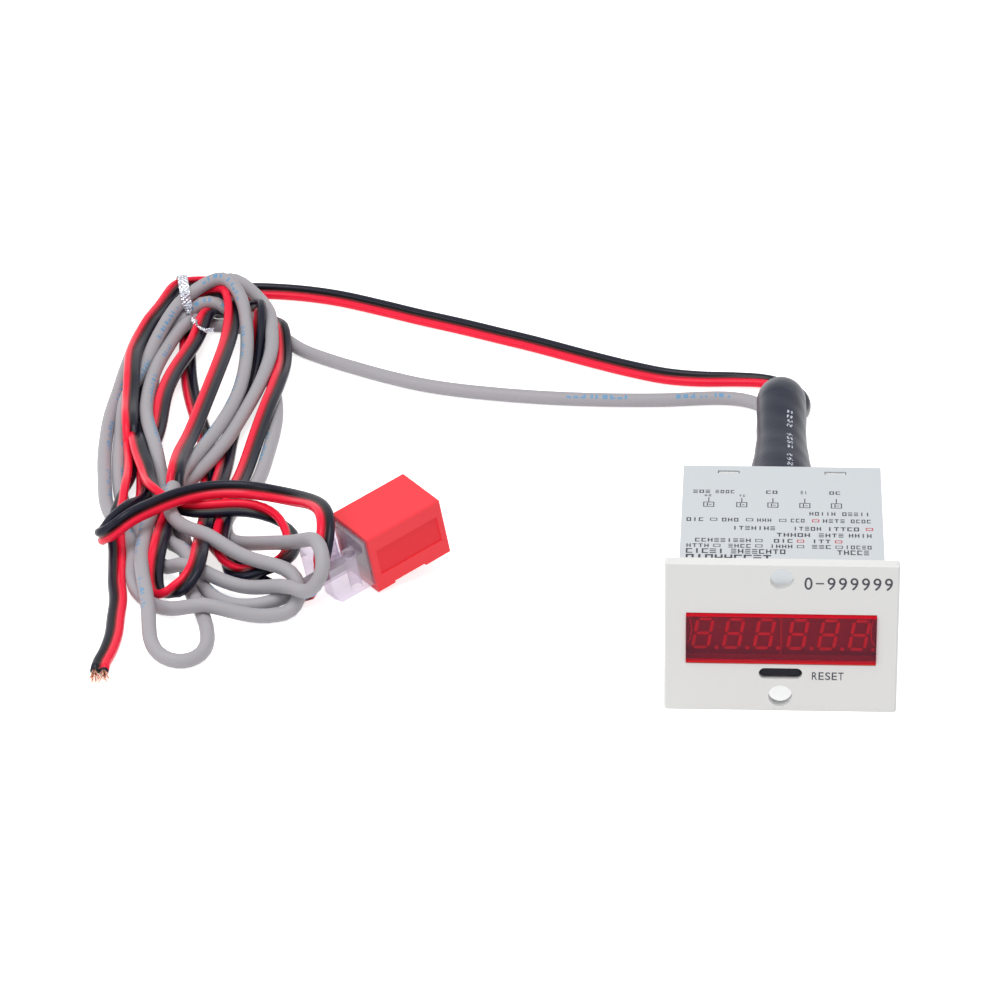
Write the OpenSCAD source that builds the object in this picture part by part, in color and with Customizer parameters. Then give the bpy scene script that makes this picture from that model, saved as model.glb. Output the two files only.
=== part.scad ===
// Panel counter with a proximity sensor on a grey lead and a twin supply lead.
// X runs to the right of the bezel, Y from the bezel back into the panel, Z up.
// The origin is the centre of the two panel screw holes, on the face that meets the panel.

/* [Bezel] */
// Width of the bezel
bezel_w = 60; // [57:0.5:74]
// Height of the bezel
bezel_h = 43.6; // [42:0.2:54]
// Thickness of the bezel
bezel_t = 2.8; // [2.2:0.1:4]
// Corner radius of the bezel
bezel_corner_r = 0.9; // [0.4:0.1:2]
// Bevel along the front edges of the bezel
bezel_bevel = 0.5; // [0.2:0.1:1]
// Distance between the two panel screw holes
screw_spacing = 34.4; // [34.2:0.1:36]
// Diameter of the panel screw holes
screw_hole_d = 6.2; // [4:0.1:6.4]

/* [Case] */
// Width of the case where it meets the bezel
case_w = 53.2; // [51.6:0.2:55]
// Height of the case where it meets the bezel
case_h = 27.6; // [27:0.2:28]
// Depth of the case behind the bezel
case_depth = 65.6; // [60:0.2:90]
// Wall of the case
wall_t = 1.4; // [1.1:0.1:1.6]
// How much each side of the case leans in from front to rear
case_draft = 0.3; // [0:0.1:0.6]
// Thickness of the rear cover
cover_t = 1.8; // [1.4:0.1:3]
// Width of a latch slot near the rear edge
latch_slot_w = 5.8; // [4:0.1:8]
// Length of a latch slot from front to rear
latch_slot_len = 1.6; // [1.2:0.1:2.4]
// Distance between the two latch slots of a side
latch_spacing = 28.4; // [20:0.2:34]

/* [Window and digits] */
// Width of the window opening
window_w = 48.9; // [44:0.1:49.4]
// Height of the window opening
window_h = 15; // [14:0.1:15.2]
// Height of the window centre above the screw pattern centre
window_z = -0.3; // [-0.5:0.1:0.5]
// How far the lens stands proud of the bezel
lens_proud = 0.5; // [0.2:0.1:1]
// Bevel along the upper and lower edge of the lens
lens_bevel = 0.8; // [0.4:0.1:1]
// Thickness of the lens flange behind the bezel
lens_flange_t = 1.2; // [0.8:0.1:1.6]
// Width of one three-digit display
display_w = 24.2; // [22:0.1:24.4]
// Height of one three-digit display
display_h = 14; // [12:0.1:14.4]
// Thickness of one three-digit display
display_t = 6.2; // [5:0.1:7]
// Distance from digit to digit
digit_pitch = 7.9; // [7:0.1:7.9]
// Height of a digit
digit_h = 9.2; // [7:0.1:10]
// Width of a digit
digit_w = 4.8; // [4:0.1:5.2]
// Width of a segment stroke
segment_t = 0.9; // [0.6:0.05:1.1]
// Slant of the digits, in degrees
digit_slant = 9; // [0:1:12]

/* [Reset button] */
// Width of the button slot
slot_w = 11.2; // [9:0.1:14]
// Height of the button slot
slot_h = 3.1; // [2.6:0.05:3.2]
// Height of the button centre below the screw pattern centre
button_drop = 10.5; // [10.4:0.05:10.7]
// How far the button face lies behind the bezel face
button_recess = 0.7; // [0.2:0.1:1]
// How far the button travels when pressed
button_travel = 0.8; // [0.4:0.1:0.8]

/* [Leads] */
// Diameter of the grey sensor lead
grey_d = 4; // [3:0.1:5]
// Width of the red and black twin lead
twin_w = 5; // [4:0.1:6]
// Thickness of the red and black twin lead
twin_t = 2.5; // [2:0.1:3]
// Outer diameter of the shrunk sleeve
sleeve_d = 13.8; // [12.6:0.1:16]
// Wall of the shrunk sleeve
sleeve_t = 0.9; // [0.5:0.1:1.2]
// Diameter of the collar that carries the sleeve
collar_d = 16.6; // [15:0.1:20]
// Length of the straight stretch of the sleeve
sleeve_straight = 59.4; // [50:0.2:70]
// Bend radius of the sleeve where it drops
sleeve_bend_r = 20; // [16:0.5:26]
// Angle through which the sleeve drops
sleeve_bend_angle = 60; // [30:5:70]

/* [Sensor] */
// Length of the red cap of the sensor
cap_len = 24; // [20:0.5:30]
// Width of the red cap of the sensor
cap_w = 17.8; // [16:0.1:20]
// Height of the red cap of the sensor
cap_h = 18; // [16:0.1:20]
// Wall of the red cap
cap_wall = 1.2; // [0.8:0.1:1.6]
// How far the clear ears reach out of the cap
ear_len = 12.5; // [10:0.5:16]
// Width of one clear ear
ear_w = 5.2; // [4.6:0.1:5.3]
// Height of the clear ears
ear_h = 14; // [12:0.1:15.5]
// Diameter of the screw holes in the ears
ear_hole_d = 3.3; // [2:0.1:3.4]

/* [Hidden] */
$fn = 48;

// Fits shared by the pieces
overrun = 1;
slide_gap = 0.3;
seat_gap = 0.1;
lens_gap = 0.05;

// Board thickness and the places that follow from the case
board_t = 1.6;
case_inner_w = case_w - 2 * wall_t;
case_inner_h = case_h - 2 * wall_t;
floor_z = -bezel_h / 2;
button_z = -button_drop;
display_y = lens_flange_t + slide_gap;
display_board_y = display_y + display_t;
main_board_y = display_board_y + board_t + slide_gap;
board_clear_below = 1.2;
main_board_z = -case_inner_h / 2 + board_clear_below;
board_top_z = main_board_z + board_t;
board_rear_gap = 6;
main_board_len = case_depth - cover_t - board_rear_gap - main_board_y;
board_side_gap = 0.4;
main_board_w = case_inner_w - 2 * case_draft - 2 * board_side_gap;

// Unit vector along v
function unit(v) = v / norm(v);

// Direction of a route at its point i
function heading(route, i) =
    unit(route[min(i + 1, len(route) - 1)] - route[max(i - 1, 0)]);

// Horizontal direction across a route at its point i
function across(route, i) = unit(cross([0, 0, 1], heading(route, i)));

// Round-cornered rectangle about the origin
module rounded_rect(w, h, r) {
    square([w - 2 * r, h], center = true);
    square([w, h - 2 * r], center = true);
    for (sx = [-1, 1], sy = [-1, 1])
        translate([sx * (w / 2 - r), sy * (h / 2 - r)])
            circle(r);
}

// Slot outline with round ends about the origin
module round_ended(w, h) {
    square([w - h, h], center = true);
    for (side = [-1, 1])
        translate([side * (w - h) / 2, 0])
            circle(h / 2);
}

// Stands an outline up facing the front and gives it thickness t from y back
module facing(y, t) {
    translate([0, y + t, 0])
        rotate([90, 0, 0])
            linear_extrude(t)
                children();
}

// Runs a side profile, given as depth and height, across a width about x
module side_profile(x, w) {
    translate([x - w / 2, 0, 0])
        rotate([90, 0, 90])
            linear_extrude(w)
                children();
}

// Block whose four sides lean in by the case draft from front to rear
module drafted_block(w, h, depth, lean) {
    intersection() {
        translate([0, 0, -h / 2])
            linear_extrude(h)
                polygon([[-w / 2, 0], [w / 2, 0], [w / 2 - lean, depth], [-w / 2 + lean, depth]]);
        side_profile(0, w)
            polygon([[0, -h / 2], [depth, -h / 2 + lean], [depth, h / 2 - lean], [0, h / 2]]);
    }
}

// Places of the four snap latches: across, and which side is up
module at_latches() {
    for (side = [-1, 1], up = [-1, 1])
        translate([side * latch_spacing / 2, 0, 0])
            mirror([0, 0, up < 0 ? 1 : 0])
                children();
}

latch_web = 0.8;
latch_slot_y = case_depth - cover_t - latch_slot_len - latch_web;
rail_t = 1.2;
rail_reach = 1.6;
rail_start_y = main_board_y + board_t;
rail_end_y = case_depth - cover_t - board_rear_gap;
post_w = 2;
post_h = 2.8;

// Plate of the bezel: round corners, and a bevel along its four front edges
module bezel_plate() {
    intersection() {
        facing(-bezel_t, bezel_t)
            rounded_rect(bezel_w, bezel_h, bezel_corner_r);
        side_profile(0, bezel_w)
            bevelled_edge(bezel_h);
        translate([0, 0, -bezel_h / 2])
            linear_extrude(bezel_h)
                rotate(90)
                    mirror([0, 1])
                        bevelled_edge(bezel_w);
    }
}

// Section of the bezel across a side of length span, given as depth and place along the side
module bevelled_edge(span) {
    polygon([[0, -span / 2], [-bezel_t + bezel_bevel, -span / 2], [-bezel_t, -span / 2 + bezel_bevel],
        [-bezel_t, span / 2 - bezel_bevel], [-bezel_t + bezel_bevel, span / 2], [0, span / 2]]);
}

// Bezel and case, moulded in one
module housing() {
    color([0.90, 0.90, 0.88])
        difference() {
            union() {
                bezel_plate();
                difference() {
                    drafted_block(case_w, case_h, case_depth, case_draft);
                    case_cavity();
                }
                board_rails();
                display_posts();
            }
            facing(-bezel_t - overrun, bezel_t + 2 * overrun)
                translate([0, window_z])
                    square([window_w, window_h], center = true);
            facing(-bezel_t - overrun, bezel_t + 2 * overrun)
                translate([0, button_z])
                    round_ended(slot_w, slot_h);
            for (up = [-1, 1])
                translate([0, -bezel_t - overrun, up * screw_spacing / 2])
                    rotate([-90, 0, 0])
                        cylinder(h = bezel_t + 2 * overrun, d = screw_hole_d);
            at_latches()
                translate([-latch_slot_w / 2, latch_slot_y, case_inner_h / 2 - overrun])
                    cube([latch_slot_w, latch_slot_len, wall_t + 2 * overrun]);
        }
}

// Hollow of the case, open at the rear
module case_cavity() {
    drafted_block(case_inner_w, case_inner_h, case_depth, case_draft);
    translate([0, case_depth - case_draft, 0])
        cube([case_inner_w - 2 * case_draft, 2 * overrun, case_inner_h - 2 * case_draft], center = true);
}

// Two ribs on each side wall that hold the main board
module board_rails() {
    for (side = [-1, 1])
        for (z = [main_board_z - seat_gap - rail_t, board_top_z + seat_gap])
            translate([side * (case_inner_w - rail_reach) / 2 - (rail_reach + wall_t) / 2 + side * wall_t / 2,
                    rail_start_y, max(z, -case_inner_h / 2)])
                cube([rail_reach + wall_t, rail_end_y - rail_start_y, rail_t - max(0, -case_inner_h / 2 - z)]);
}

// Four corner posts behind the bezel that the display board rests on
module display_posts() {
    for (side = [-1, 1], up = [-1, 1])
        translate([side * (case_inner_w - post_w) / 2, display_board_y / 2, up * (case_inner_h - post_h) / 2])
            cube([post_w + wall_t / 2, display_board_y, post_h + wall_t / 2], center = true);
}

collar_len = 4;
collar_bore_d = sleeve_d - 2 * sleeve_t;
hook_w = latch_slot_w - 2 * slide_gap;
hook_t = 1.2;
hook_reach_share = 0.8;
cover_w = case_inner_w - 2 * case_draft - 2 * seat_gap;
cover_h = case_inner_h - 2 * case_draft - 2 * seat_gap;
cover_rib_h = 1.2;
cover_rib_t = 1;
cover_rib_inset = 3;

// Rear cover with its sleeve collar, stiffening ribs and four snap hooks
module rear_cover() {
    color([0.88, 0.88, 0.86])
        difference() {
            union() {
                facing(case_depth - cover_t, cover_t)
                    square([cover_w, cover_h], center = true);
                translate([0, case_depth - cover_t, 0])
                    rotate([-90, 0, 0])
                        cylinder(h = cover_t + collar_len, d = collar_d);
                at_latches()
                    snap_hook();
                for (side = [-1, 1])
                    translate([side * (cover_w / 2 - cover_rib_inset) - cover_rib_t / 2,
                            case_depth - cover_t - cover_rib_h, -cover_h / 2 + cover_rib_inset])
                        cube([cover_rib_t, cover_rib_h, cover_h - 2 * cover_rib_inset]);
            }
            translate([0, case_depth - cover_t - overrun, 0])
                rotate([-90, 0, 0])
                    cylinder(h = cover_t + collar_len + 2 * overrun, d = collar_bore_d);
        }
}

// Arm along the upper wall with a wedge that catches in the latch slot
module snap_hook() {
    arm_top = case_inner_h / 2 - case_draft - seat_gap;
    tip_y = latch_slot_y - slide_gap;
    nib_y = latch_slot_y + seat_gap;
    nib_end_y = latch_slot_y + latch_slot_len - seat_gap;
    side_profile(0, hook_w)
        polygon([[tip_y, arm_top], [nib_y, arm_top], [nib_end_y, arm_top + hook_reach_share * wall_t],
            [nib_end_y, arm_top], [case_depth - cover_t, arm_top],
            [case_depth - cover_t, arm_top - hook_t], [tip_y, arm_top - hook_t]]);
}

lens_flange_w = case_inner_w - 2 * slide_gap;
lens_flange_over = 1;

// Red lens: a bevelled pad that fills the window and a flange behind the bezel
module display_window() {
    pad_w = window_w - 2 * lens_gap;
    pad_h = window_h - 2 * lens_gap;
    front_y = -bezel_t - lens_proud;
    color([0.65, 0.08, 0.12, 0.7])
        translate([0, 0, window_z]) {
            side_profile(0, pad_w)
                polygon([[0, -pad_h / 2], [front_y + lens_bevel, -pad_h / 2], [front_y, -pad_h / 2 + lens_bevel],
                    [front_y, pad_h / 2 - lens_bevel], [front_y + lens_bevel, pad_h / 2], [0, pad_h / 2]]);
            facing(0, lens_flange_t)
                square([lens_flange_w, window_h + 2 * lens_flange_over], center = true);
        }
}

button_gap = 0.3;
button_w = slot_w - 2 * button_gap;
button_h = slot_h - 2 * button_gap;
button_flange_over = 1.5;
button_flange_w = slot_w + 2 * button_flange_over;
button_flange_t = 1;
button_edge = 0.3;
stem_w = 6;
stem_h = 1.8;
plunger_w = 3;
plunger_h = 1.5;
plunger_depth = 1.7;
switch_w = 6;
switch_h = 3.5;
switch_t = 3.5;
switch_rise = 0.15;
switch_floor_z = -case_inner_h / 2 + case_draft * display_board_y / case_depth + seat_gap;
switch_z = max(button_z + switch_rise, switch_floor_z + switch_h / 2);
switch_y = display_board_y - switch_t;
plunger_out = button_travel + button_gap;

// Reset button: oblong face, retaining flange behind the bezel and a stem to the switch
module reset_button() {
    face_y = -bezel_t + button_recess;
    color([0.11, 0.11, 0.14])
        translate([0, 0, button_z]) {
            facing(face_y, button_edge)
                round_ended(button_w - 2 * button_edge, button_h - 2 * button_edge);
            facing(face_y + button_edge, button_gap - face_y - button_edge)
                round_ended(button_w, button_h);
            facing(button_gap, button_flange_t)
                square([button_flange_w, button_h], center = true);
            facing(button_gap + button_flange_t, switch_y - plunger_out - button_gap - button_flange_t)
                square([stem_w, stem_h], center = true);
        }
}

// Plunger of the push switch, which slides in the switch body
module switch_plunger() {
    color([0.15, 0.15, 0.17])
        facing(switch_y - plunger_out, plunger_out + plunger_depth)
            translate([0, switch_z])
                square([plunger_w, plunger_h], center = true);
}

leg_t = 0.5;
leg_inset = 0.6;

// Push switch on the front of the display board, with its plunger pocket and four legs
module switch_body() {
    color([0.20, 0.20, 0.22])
        difference() {
            union() {
                facing(switch_y, switch_t)
                    translate([0, switch_z])
                        square([switch_w, switch_h], center = true);
                for (side = [-1, 1], up = [-1, 1])
                    translate([side * (switch_w / 2 - leg_inset), display_board_y,
                            switch_z + up * (switch_h / 2 - leg_inset)])
                        translate([-leg_t / 2, 0, -leg_t / 2])
                            cube([leg_t, board_t, leg_t]);
            }
            facing(switch_y - overrun, overrun + plunger_depth + button_travel + seat_gap)
                translate([0, switch_z])
                    square([plunger_w + 2 * seat_gap, plunger_h + 2 * seat_gap], center = true);
        }
}

segment_gap = 0.22;
segment_depth = 0.15;
point_d = 1.1;
point_shift = 3.55;
display_pin_t = 0.5;
display_pin_pitch = 2.54;
display_pin_row = 10.16;
display_pins = 6;
display_hole_d = 0.9;
display_chamfer = 0.6;

// One stroke of a digit, pointed at both ends
module segment(length) {
    half = length / 2 - segment_gap;
    polygon([[-half, 0], [-half + segment_t / 2, segment_t / 2], [half - segment_t / 2, segment_t / 2],
        [half, 0], [half - segment_t / 2, -segment_t / 2], [-half + segment_t / 2, -segment_t / 2]]);
}

// Seven strokes of a slanted digit and its decimal point
module digit() {
    across_len = digit_w - segment_t;
    upright = (digit_h - segment_t) / 2;
    multmatrix([[1, tan(digit_slant), 0, 0], [0, 1, 0, 0], [0, 0, 1, 0], [0, 0, 0, 1]]) {
        for (level = [-1, 0, 1])
            translate([0, level * upright])
                segment(across_len);
        for (side = [-1, 1], level = [-1, 1])
            translate([side * across_len / 2, level * upright / 2])
                rotate(90)
                    segment(upright);
    }
    translate([point_shift, -upright])
        circle(point_d / 2, $fn = 16);
}

// Three-digit display about x, with its digits sunk in the face and two rows of pins
module display_block(x) {
    color([0.30, 0.10, 0.13])
        translate([x, 0, window_z]) {
            difference() {
                facing(display_y, display_t)
                    square([display_w, display_h], center = true);
                for (place = [-1, 0, 1])
                    facing(display_y - overrun, overrun + segment_depth)
                        translate([place * digit_pitch, 0])
                            digit();
                for (up = [-1, 1])
                    translate([0, display_y, up * display_h / 2])
                        rotate([45, 0, 0])
                            cube([display_w + overrun, display_chamfer, display_chamfer], center = true);
            }
            for (i = [0 : display_pins - 1], up = [-1, 1])
                translate([(i - (display_pins - 1) / 2) * display_pin_pitch - display_pin_t / 2, display_board_y,
                        up * display_pin_row / 2 - display_pin_t / 2])
                    cube([display_pin_t, board_t + slide_gap, display_pin_t]);
        }
}

module display_left() {
    display_block(-display_w / 2 - seat_gap);
}

module display_right() {
    display_block(display_w / 2 + seat_gap);
}

display_board_w = case_inner_w - 2 * slide_gap;
display_board_h = case_inner_h - 2 * slide_gap;

// Upright board behind the bezel, drilled for the display pins and the switch legs
module display_board() {
    color([0.12, 0.35, 0.20])
        difference() {
            facing(display_board_y, board_t)
                square([display_board_w, display_board_h], center = true);
            for (x = [-display_w / 2 - seat_gap, display_w / 2 + seat_gap])
                for (i = [0 : display_pins - 1], up = [-1, 1])
                    translate([x + (i - (display_pins - 1) / 2) * display_pin_pitch, display_board_y - overrun,
                            window_z + up * display_pin_row / 2])
                        rotate([-90, 0, 0])
                            cylinder(h = board_t + 2 * overrun, d = display_hole_d, $fn = 16);
            for (side = [-1, 1], up = [-1, 1])
                translate([side * (switch_w / 2 - leg_inset), display_board_y - overrun,
                        switch_z + up * (switch_h / 2 - leg_inset)])
                    rotate([-90, 0, 0])
                        cylinder(h = board_t + 2 * overrun, d = display_hole_d, $fn = 16);
        }
}

chip_pin_pitch = 2.54;
chip_row = 7.62;
chip_w = 6.4;
chip_t = 3.3;
chip_lift = 0.5;
chip_pin_t = 0.45;
chip_hole_d = 0.9;
chip_notch_d = 1.8;
controller_pins = 10;
driver_pins = 8;
memory_pins = 4;
coupler_pins = 2;

// Places of the parts on the main board, as shares of its half width and of its length
controller_shares = [-0.33, 0.27];
crystal_shares = [-0.33, 0.435];
driver_shares = [-0.33, 0.6];
memory_shares = [0.49, 0.6];
coupler_shares = [0.83, 0.6];
capacitor_shares = [0.57, 0.22];
regulator_shares = [0.77, 0.72];

// Place on the main board, across and back from the bezel
function board_place(shares) =
    [shares[0] * main_board_w / 2, main_board_y + shares[1] * main_board_len];

controller_place = board_place(controller_shares);
crystal_place = board_place(crystal_shares);
driver_place = board_place(driver_shares);
memory_place = board_place(memory_shares);
coupler_place = board_place(coupler_shares);
capacitor_place = board_place(capacitor_shares);
regulator_place = board_place(regulator_shares);

// Solder side reach of a pin below the board
pin_reach = board_clear_below - slide_gap - seat_gap;

// Places of the two rows of pins of a chip that lies across the board
module at_chip_pins(place, pins) {
    for (i = [0 : pins - 1], row = [-1, 1])
        translate([place[0] + (i - (pins - 1) / 2) * chip_pin_pitch, place[1] + row * chip_row / 2, 0])
            children();
}

// Chip with a row of pins along its front and its rear
module chip(place, pins) {
    length = pins * chip_pin_pitch;
    shoulder_z = board_top_z + chip_lift + chip_t / 2;
    difference() {
        translate([place[0] - length / 2, place[1] - chip_w / 2, board_top_z + chip_lift])
            cube([length, chip_w, chip_t]);
        translate([place[0] - length / 2, place[1], board_top_z + chip_lift + chip_t / 2])
            cylinder(h = chip_t, d = chip_notch_d, $fn = 24);
    }
    at_chip_pins(place, pins) {
        translate([-chip_pin_t / 2, -chip_pin_t / 2, main_board_z - pin_reach])
            cube([chip_pin_t, chip_pin_t, shoulder_z - main_board_z + pin_reach]);
    }
    for (i = [0 : pins - 1], row = [-1, 1])
        translate([place[0] + (i - (pins - 1) / 2) * chip_pin_pitch - chip_pin_t / 2,
                place[1] + (row < 0 ? -chip_row / 2 - chip_pin_t / 2 : chip_w / 2 - chip_pin_t),
                shoulder_z - chip_pin_t / 2])
            cube([chip_pin_t, chip_row / 2 - chip_w / 2 + 1.5 * chip_pin_t, chip_pin_t]);
}

module controller_chip() {
    color([0.13, 0.13, 0.14])
        chip(controller_place, controller_pins);
}

module driver_chip() {
    color([0.13, 0.13, 0.14])
        chip(driver_place, driver_pins);
}

module memory_chip() {
    color([0.13, 0.13, 0.14])
        chip(memory_place, memory_pins);
}

module optocoupler() {
    color([0.85, 0.85, 0.83])
        chip(coupler_place, coupler_pins);
}

crystal_w = 4.6;
crystal_len = 11;
crystal_h = 3.6;
crystal_base_t = 0.4;
crystal_base_over = 0.3;

// Metal-can crystal standing on its flange
module crystal() {
    color([0.75, 0.75, 0.76])
        translate([crystal_place[0], crystal_place[1], board_top_z]) {
            linear_extrude(crystal_base_t)
                round_ended(crystal_len + 2 * crystal_base_over, crystal_w + 2 * crystal_base_over);
            linear_extrude(crystal_h)
                round_ended(crystal_len, crystal_w);
        }
}

capacitor_d = 8;
capacitor_h = 11.5;
capacitor_groove = 0.4;
capacitor_step = 9;
groove_shares = [0.12, 0.16, 0.2];

// Two electrolytic capacitors, each with the pinched groove above its base
module filter_capacitors() {
    color([0.16, 0.19, 0.30])
        for (i = [0, 1])
            translate([capacitor_place[0] + (i - 0.5) * capacitor_step, capacitor_place[1], board_top_z])
                rotate_extrude()
                    polygon([[0, 0], [capacitor_d / 2, 0], [capacitor_d / 2, groove_shares[0] * capacitor_h],
                        [capacitor_d / 2 - capacitor_groove, groove_shares[1] * capacitor_h],
                        [capacitor_d / 2, groove_shares[2] * capacitor_h],
                        [capacitor_d / 2, capacitor_h], [0, capacitor_h]]);
}

regulator_w = 10;
regulator_h = 9;
regulator_t = 4.4;
regulator_tab_t = 1.3;
regulator_tab_h = 14.5;
regulator_leg_h = 3;
regulator_leg_w = 0.8;
regulator_hole_d = 3.6;

// Regulator standing on three legs with its metal tab to the rear
module voltage_regulator() {
    color([0.17, 0.17, 0.18])
        translate([regulator_place[0] - regulator_w / 2, regulator_place[1], board_top_z])
            difference() {
                union() {
                    translate([0, 0, regulator_leg_h])
                        cube([regulator_w, regulator_t - regulator_tab_t, regulator_h]);
                    translate([0, regulator_t - regulator_tab_t, regulator_leg_h])
                        cube([regulator_w, regulator_tab_t, regulator_tab_h]);
                    for (i = [-1, 0, 1])
                        translate([regulator_w / 2 + i * chip_pin_pitch - regulator_leg_w / 2,
                                (regulator_t - regulator_leg_w) / 2, 0])
                            cube([regulator_leg_w, regulator_leg_w, regulator_leg_h]);
                }
                translate([regulator_w / 2, 0, regulator_leg_h + (regulator_h + regulator_tab_h) / 2])
                    rotate([-90, 0, 0])
                        cylinder(h = regulator_t + overrun, d = regulator_hole_d);
            }
}

terminals = 5;
terminal_pitch = 5;
terminal_end_t = 0.5;
terminal_w = terminals * terminal_pitch + 2 * terminal_end_t;
terminal_len = 8;
terminal_h = 10;
terminal_bore_d = 3;
terminal_bore_z = 3.4;
terminal_well_d = 4;
terminal_well_depth = 3;
terminal_x = -4;
terminal_edge_gap = 0.6;
terminal_y = main_board_y + main_board_len - terminal_len - terminal_edge_gap;
terminal_screw_d = 3.6;
terminal_screw_h = 1.6;
terminal_slot_t = 0.6;

// Places of the five terminals along the strip
module at_terminals() {
    for (i = [0 : terminals - 1])
        translate([terminal_x + (i - (terminals - 1) / 2) * terminal_pitch, 0, 0])
            children();
}

// Five-way terminal strip with a screw well above each wire bore
module terminal_strip() {
    color([0.20, 0.45, 0.30])
        difference() {
            translate([terminal_x - terminal_w / 2, terminal_y, board_top_z])
                cube([terminal_w, terminal_len, terminal_h]);
            at_terminals() {
                translate([0, terminal_y + terminal_len / 2, board_top_z + terminal_bore_z])
                    rotate([-90, 0, 0])
                        cylinder(h = terminal_len / 2 + overrun, d = terminal_bore_d, $fn = 32);
                translate([0, terminal_y + terminal_len / 2, board_top_z + terminal_h - terminal_well_depth])
                    cylinder(h = terminal_well_depth + overrun, d = terminal_well_d, $fn = 32);
            }
        }
}

// Slotted screws at the bottom of the terminal wells
module terminal_screws() {
    color([0.78, 0.78, 0.76])
        at_terminals()
            translate([0, terminal_y + terminal_len / 2, board_top_z + terminal_h - terminal_well_depth])
                difference() {
                    cylinder(h = terminal_screw_h, d = terminal_screw_d, $fn = 32);
                    translate([-terminal_screw_d, -terminal_slot_t / 2, terminal_screw_h / 2])
                        cube([2 * terminal_screw_d, terminal_slot_t, terminal_screw_h]);
                }
}

header_pins = 10;
header_pitch = 2.54;
header_h = 2.5;
header_pin_t = 0.6;
header_hole_d = 1;

// Right-angle header that joins the two boards
module board_header() {
    header_y = main_board_y + seat_gap;
    color([0.15, 0.15, 0.16]) {
        translate([-header_pins * header_pitch / 2, display_board_y + board_t, board_top_z])
            cube([header_pins * header_pitch, header_h + slide_gap, header_h]);
        for (i = [0 : header_pins - 1])
            translate([(i - (header_pins - 1) / 2) * header_pitch - header_pin_t / 2,
                    header_y + header_h / 2, main_board_z - pin_reach])
                cube([header_pin_t, header_pin_t, board_t + pin_reach + header_h / 2]);
    }
}

// Board that carries the circuit, drilled for the pins that pass through it
module main_board() {
    header_y = main_board_y + seat_gap;
    color([0.12, 0.38, 0.22])
        difference() {
            translate([-main_board_w / 2, main_board_y, main_board_z])
                cube([main_board_w, main_board_len, board_t]);
            translate([0, 0, main_board_z - overrun]) {
                at_chip_pins(controller_place, controller_pins)
                    cylinder(h = board_t + 2 * overrun, d = chip_hole_d, $fn = 16);
                at_chip_pins(driver_place, driver_pins)
                    cylinder(h = board_t + 2 * overrun, d = chip_hole_d, $fn = 16);
                at_chip_pins(memory_place, memory_pins)
                    cylinder(h = board_t + 2 * overrun, d = chip_hole_d, $fn = 16);
                at_chip_pins(coupler_place, coupler_pins)
                    cylinder(h = board_t + 2 * overrun, d = chip_hole_d, $fn = 16);
                for (i = [0 : header_pins - 1])
                    translate([(i - (header_pins - 1) / 2) * header_pitch,
                            header_y + header_h / 2 + header_pin_t / 2, 0])
                        cylinder(h = board_t + 2 * overrun, d = header_hole_d, $fn = 16);
            }
        }
}

sleeve_taper = 28;
taper_steps = 10;
sleeve_bend_y = case_depth + sleeve_straight;
sleeve_r = sleeve_d / 2;
sleeve_root_r = collar_d / 2 + seat_gap + sleeve_t;

// Outer radius of the sleeve at share u of its taper
function taper_r(u) = sleeve_r + (sleeve_root_r - sleeve_r) * (0.5 + 0.5 * cos(180 * u));

// Sleeve shrunk over the collar, tapering to the leads and dropping to the table
module cable_sleeve() {
    outer = [for (i = [0 : taper_steps])
        [taper_r(i / taper_steps), collar_len + sleeve_taper * i / taper_steps]];
    inner = [for (i = [taper_steps : -1 : 0])
        [taper_r(i / taper_steps) - sleeve_t, collar_len + sleeve_taper * i / taper_steps]];
    color([0.20, 0.22, 0.28]) {
        translate([0, case_depth, 0])
            rotate([-90, 0, 0])
                rotate_extrude()
                    polygon(concat([[sleeve_root_r, 0]], outer,
                        [[sleeve_r, sleeve_straight], [sleeve_r - sleeve_t, sleeve_straight]], inner,
                        [[sleeve_root_r - sleeve_t, 0]]));
        translate([0, sleeve_bend_y, -sleeve_bend_r])
            rotate([0, -90, 0])
                rotate_extrude(angle = sleeve_bend_angle)
                    translate([sleeve_bend_r, 0])
                        difference() {
                            circle(sleeve_r);
                            circle(sleeve_r - sleeve_t);
                        }
    }
}

// Solid swept along a route, with an oval section that keeps level
module swept_lead(route, half_w, half_t, sides) {
    last = len(route) - 1;
    points = [for (i = [0 : last])
        let (t = heading(route, i), s = across(route, i), u = cross(t, s))
            for (k = [0 : sides - 1])
                route[i] + half_w * cos(360 * (k + 0.5) / sides) * s + half_t * sin(360 * (k + 0.5) / sides) * u];
    walls = [for (i = [0 : last - 1], k = [0 : sides - 1])
        let (a = i * sides + k, b = i * sides + (k + 1) % sides)
            for (half = [0, 1])
                half == 0 ? [a, b, a + sides] : [b, b + sides, a + sides]];
    start_cap = [for (k = [sides - 1 : -1 : 0]) k];
    end_cap = [for (k = [0 : sides - 1]) last * sides + k];
    polyhedron(points, concat(walls, [start_cap], [end_cap]));
}

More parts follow.
